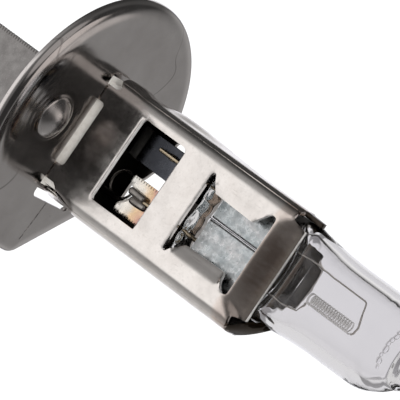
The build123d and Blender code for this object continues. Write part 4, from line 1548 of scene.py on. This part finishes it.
def blade_deform(P, UZ, side):
    z = UZ[:, 1]
    # tapered lead-in at the tip, thinner shank inside the insulator
    k = 0.62 + 0.38 * smoothstep(-16.8, -15.7, z)
    k = np.where(z > -7.38, 0.87, k)
    P[:, 1] = (BY0 + BY1) / 2 + (P[:, 1] - (BY0 + BY1) / 2) * k
    # pressed ring round the locking hole
    r = np.hypot(P[:, 0], z + 12.6)
    d = 0.10 * np.exp(-((r - 0.95) / 0.35) ** 2)
    P[:, 1] += np.where(side == 0, -d, d)
    return P


blade = plate_from("blade", out, [hole], BY0, BY1, 0.28, blade_deform, 0.05)
done(blade, "blade_terminal", M["blade"])

for n, m in (("ceramic_insulator", "ceramic"), ("insulator_cup", "cup"), ("flange_welds", "weld")):
    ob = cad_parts[n]
    ob.data.materials.clear()
    ob.data.materials.append(M[m])

# ------------------------------------------------------------------ floor
zf = cad_box[0][2] - 0.020
bpy.ops.mesh.primitive_grid_add(x_subdivisions=8, y_subdivisions=8, size=3.0, location=(0, 0, zf))
floor = bpy.context.object
floor.name = "floor"
N = Nodes("pale_floor")
p = N.new("ShaderNodeBsdfPrincipled")
N.link(N.ramp(N.noise((6, 6, 6), 3, 0.5), [(0.3, rgb(0.93, 0.93, 0.93)), (0.7, rgb(0.95, 0.95, 0.95))]), p.inputs["Base Color"])
p.inputs["Roughness"].default_value = 0.9
N.link(p.outputs[0], N.out.inputs["Surface"])
floor.data.materials.append(N.mat)
floor.visible_glossy = False
floor.visible_transmission = False

# ------------------------------------------------------------------ reflection dome: a soft studio seen only in the metal and the glass
bpy.ops.mesh.primitive_uv_sphere_add(segments=64, ring_count=32, radius=1.3, location=(0, 0, 0.010))
dome = bpy.context.object
dome.name = "studio_dome"
smooth_all(dome.data)
N = Nodes("studio_dome")
tc = N.new("ShaderNodeTexCoord")
nz = N.new("ShaderNodeVectorMath", operation="NORMALIZE")
N.link(tc.outputs["Object"], nz.inputs[0])
D = nz.outputs[0]
sp = N.new("ShaderNodeSeparateXYZ")
N.link(D, sp.inputs[0])
azim = N.math("ADD", N.math("DIVIDE", N.math("ARCTAN2", sp.outputs[0], sp.outputs[1]), 2 * math.pi), 0.5)
elev = N.math("MULTIPLY", N.math("ARCSINE", sp.outputs[2]), 180 / math.pi)


def bands(stops):
    """Brightness round the horizon: (azimuth in degrees from +Y towards +X, value or colour)."""
    out = []
    for a, v in stops:
        if not hasattr(v, "__len__"):
            v = (v, v * 0.985, v * 0.975)
        out.append(((a + 180.0) / 360.0, rgb(*v)))
    return N.ramp(azim, out)


LAV = (1.02, 1.02, 1.08)
low = bands([(-180, LAV), (-150, LAV), (-128, 0.70), (-95, 0.55), (-75, 0.42), (-58, 0.30), (-50, 0.34), (-43, 0.95), (-36, (1.06, 1.035, 1.02)),
             (19, (1.06, 1.035, 1.02)), (27, 0.85), (36, 0.38), (58, 0.27), (76, 0.10), (88, 0.05), (141, 0.05), (149, 0.80), (154, LAV), (180, LAV)])
strip = bands([(-180, 0.12), (-130, 0.16), (-95, 0.32), (-60, 0.24), (-38, 0.50), (0, 0.55), (25, 0.45), (45, 0.22), (80, 0.07), (125, 0.07), (150, 0.10), (180, 0.12)])
mid = bands([(-180, 0.40), (-130, 0.42), (-95, 0.34), (-60, 0.16), (0, 0.17), (40, 0.13), (80, 0.10), (120, 0.08), (142, 0.10), (156, 0.38), (180, 0.40)])
high = bands([(-180, 0.285), (-120, 0.27), (-85, 0.20), (-55, 0.040), (0, 0.035), (50, 0.045), (85, 0.040), (148, 0.045), (160, 0.20), (172, 0.265), (180, 0.285)])
c = N.mix(N.remap(elev, -22, -15, 0, 1), low, strip)
c = N.mix(N.remap(elev, -12, -5, 0, 1), c, mid)
c = N.mix(N.remap(elev, 9, 26, 0, 1), c, high)
c = N.mix(N.remap(elev, -80, -62, 1, 0), c, rgb(0.8, 0.79, 0.79))


def lobe(base, direction, inner, outer, color):
    v = np.array(direction, float)
    v /= np.linalg.norm(v)
    dp = N.new("ShaderNodeVectorMath", operation="DOT_PRODUCT")
    N.link(D, dp.inputs[0])
    dp.inputs[1].default_value = tuple(v)
    f = N.remap(dp.outputs["Value"], math.cos(math.radians(outer)), math.cos(math.radians(inner)), 0.0, 1.0)
    return N.mix(f, base, rgb(*color))


c = lobe(c, (0.593, 0.593, 0.545), 24, 32, (0.42, 0.40, 0.39))
c = lobe(c, (0.310, -0.1445, 0.940), 17, 23, (0.68, 0.63, 0.60))
c = lobe(c, (-0.187, -0.324, 0.927), 10, 16, (0.03, 0.028, 0.027))
c = lobe(c, (0.1116, -0.633, 0.766), 6, 13, (0.56, 0.53, 0.51))
em = N.new("ShaderNodeEmission")
N.link(c, em.inputs["Color"])
em.inputs["Strength"].default_value = 1.0
N.link(em.outputs[0], N.out.inputs["Surface"])
dome.data.materials.append(N.mat)


def only_seen_by(ob, glossy, transmission):
    ob.visible_camera = False
    ob.visible_diffuse = False
    ob.visible_shadow = False
    ob.visible_volume_scatter = False
    ob.visible_glossy = glossy
    ob.visible_transmission = transmission


only_seen_by(dome, True, False)

bpy.ops.mesh.primitive_uv_sphere_add(segments=64, ring_count=32, radius=1.35, location=(0, 0, 0.010))
dome2 = bpy.context.object
dome2.name = "studio_dome_seen_through_glass"
smooth_all(dome2.data)
N = Nodes("studio_dome_through_glass")
tc = N.new("ShaderNodeTexCoord")
nz = N.new("ShaderNodeVectorMath", operation="NORMALIZE")
N.link(tc.outputs["Object"], nz.inputs[0])
D = nz.outputs[0]
sp = N.new("ShaderNodeSeparateXYZ")
N.link(D, sp.inputs[0])
azim = N.math("ADD", N.math("DIVIDE", N.math("ARCTAN2", sp.outputs[0], sp.outputs[1]), 2 * math.pi), 0.5)
elev = N.math("MULTIPLY", N.math("ARCSINE", sp.outputs[2]), 180 / math.pi)
GR = (0.745, 0.735, 0.755)
low = bands([(-180, GR), (-60, 0.72), (0, 0.74), (60, 0.66), (90, 0.55), (99, 0.05), (127, 0.04), (134, 0.62), (140, 0.90), (150, GR), (180, GR)])
high = bands([(-180, 0.70), (-60, 0.62), (0, 0.55), (80, 0.45), (110, 0.30), (150, 0.60), (180, 0.70)])
c = N.mix(N.remap(elev, -4, 24, 0, 1), low, high)
c = N.mix(N.math("MULTIPLY", N.remap(elev, -16, -11, 0, 1), N.remap(elev, -2, 6, 0.72, 0)), c, rgb(0.09, 0.085, 0.09))
c = N.mix(N.math("MULTIPLY", N.remap(elev, -46, -50, 0, 1), N.remap(elev, -60, -66, 1, 0)), c, rgb(1.15, 1.15, 1.18))
em = N.new("ShaderNodeEmission")
N.link(c, em.inputs["Color"])
em.inputs["Strength"].default_value = 1.0
N.link(em.outputs[0], N.out.inputs["Surface"])
dome2.data.materials.append(N.mat)
only_seen_by(dome2, False, True)

# ------------------------------------------------------------------ lights
w = bpy.data.worlds.new("studio")
scene.world = w
w.use_nodes = True
w.node_tree.nodes["Background"].inputs["Color"].default_value = (1.0, 1.0, 1.0, 1)
w.node_tree.nodes["Background"].inputs["Strength"].default_value = 1.0


def area(name, loc, target, size, power):
    L = bpy.data.lights.new(name, "AREA")
    L.shape = "DISK"
    L.size = size
    L.energy = power
    ob = link(bpy.data.objects.new(name, L))
    ob.location = loc
    d = Vector(target) - Vector(loc)
    ob.rotation_euler = d.to_track_quat("-Z", "Y").to_euler()
    ob.visible_glossy = False
    ob.visible_transmission = False
    return ob


area("key", (0.10, 0.22, 0.30), (0, 0, 0.01), 0.22, 0.55)
area("fill", (-0.30, 0.10, 0.10), (0, 0, 0.01), 0.25, 0.15)

# ------------------------------------------------------------------ camera
cam = bpy.data.cameras.new("camera")
camo = link(bpy.data.objects.new("camera", cam))
right = Vector((0.561996, -0.446611, 0.696203))
up = Vector((0.824747, 0.238599, -0.512701))
back_v = Vector((0.062865, 0.862327, 0.502433))
pos = Vector((21.1354 + SHIFT, 273.5135, 171.3623)) * MM
rot = Matrix((right, up, back_v)).transposed()
camo.matrix_world = Matrix.Translation(pos) @ rot.to_4x4()
cam.sensor_width = 36.0
cam.sensor_height = 36.0
cam.sensor_fit = "HORIZONTAL"
cam.lens = 3971.226 * 36.0 / 400.0
cam.shift_x = 0.0
cam.shift_y = 0.0
cam.clip_start = 0.01
cam.clip_end = 20.0
cam.dof.use_dof = False
scene.camera = camo

scene.view_settings.view_transform = "Standard"
scene.view_settings.look = "None"
scene.view_settings.exposure = 0.0
scene.view_settings.gamma = 1.0
scene.cycles.max_bounces = 24
scene.cycles.glossy_bounces = 10
scene.cycles.transmission_bounces = 20
scene.cycles.transparent_max_bounces = 16
scene.cycles.caustics_reflective = True
scene.cycles.caustics_refractive = True
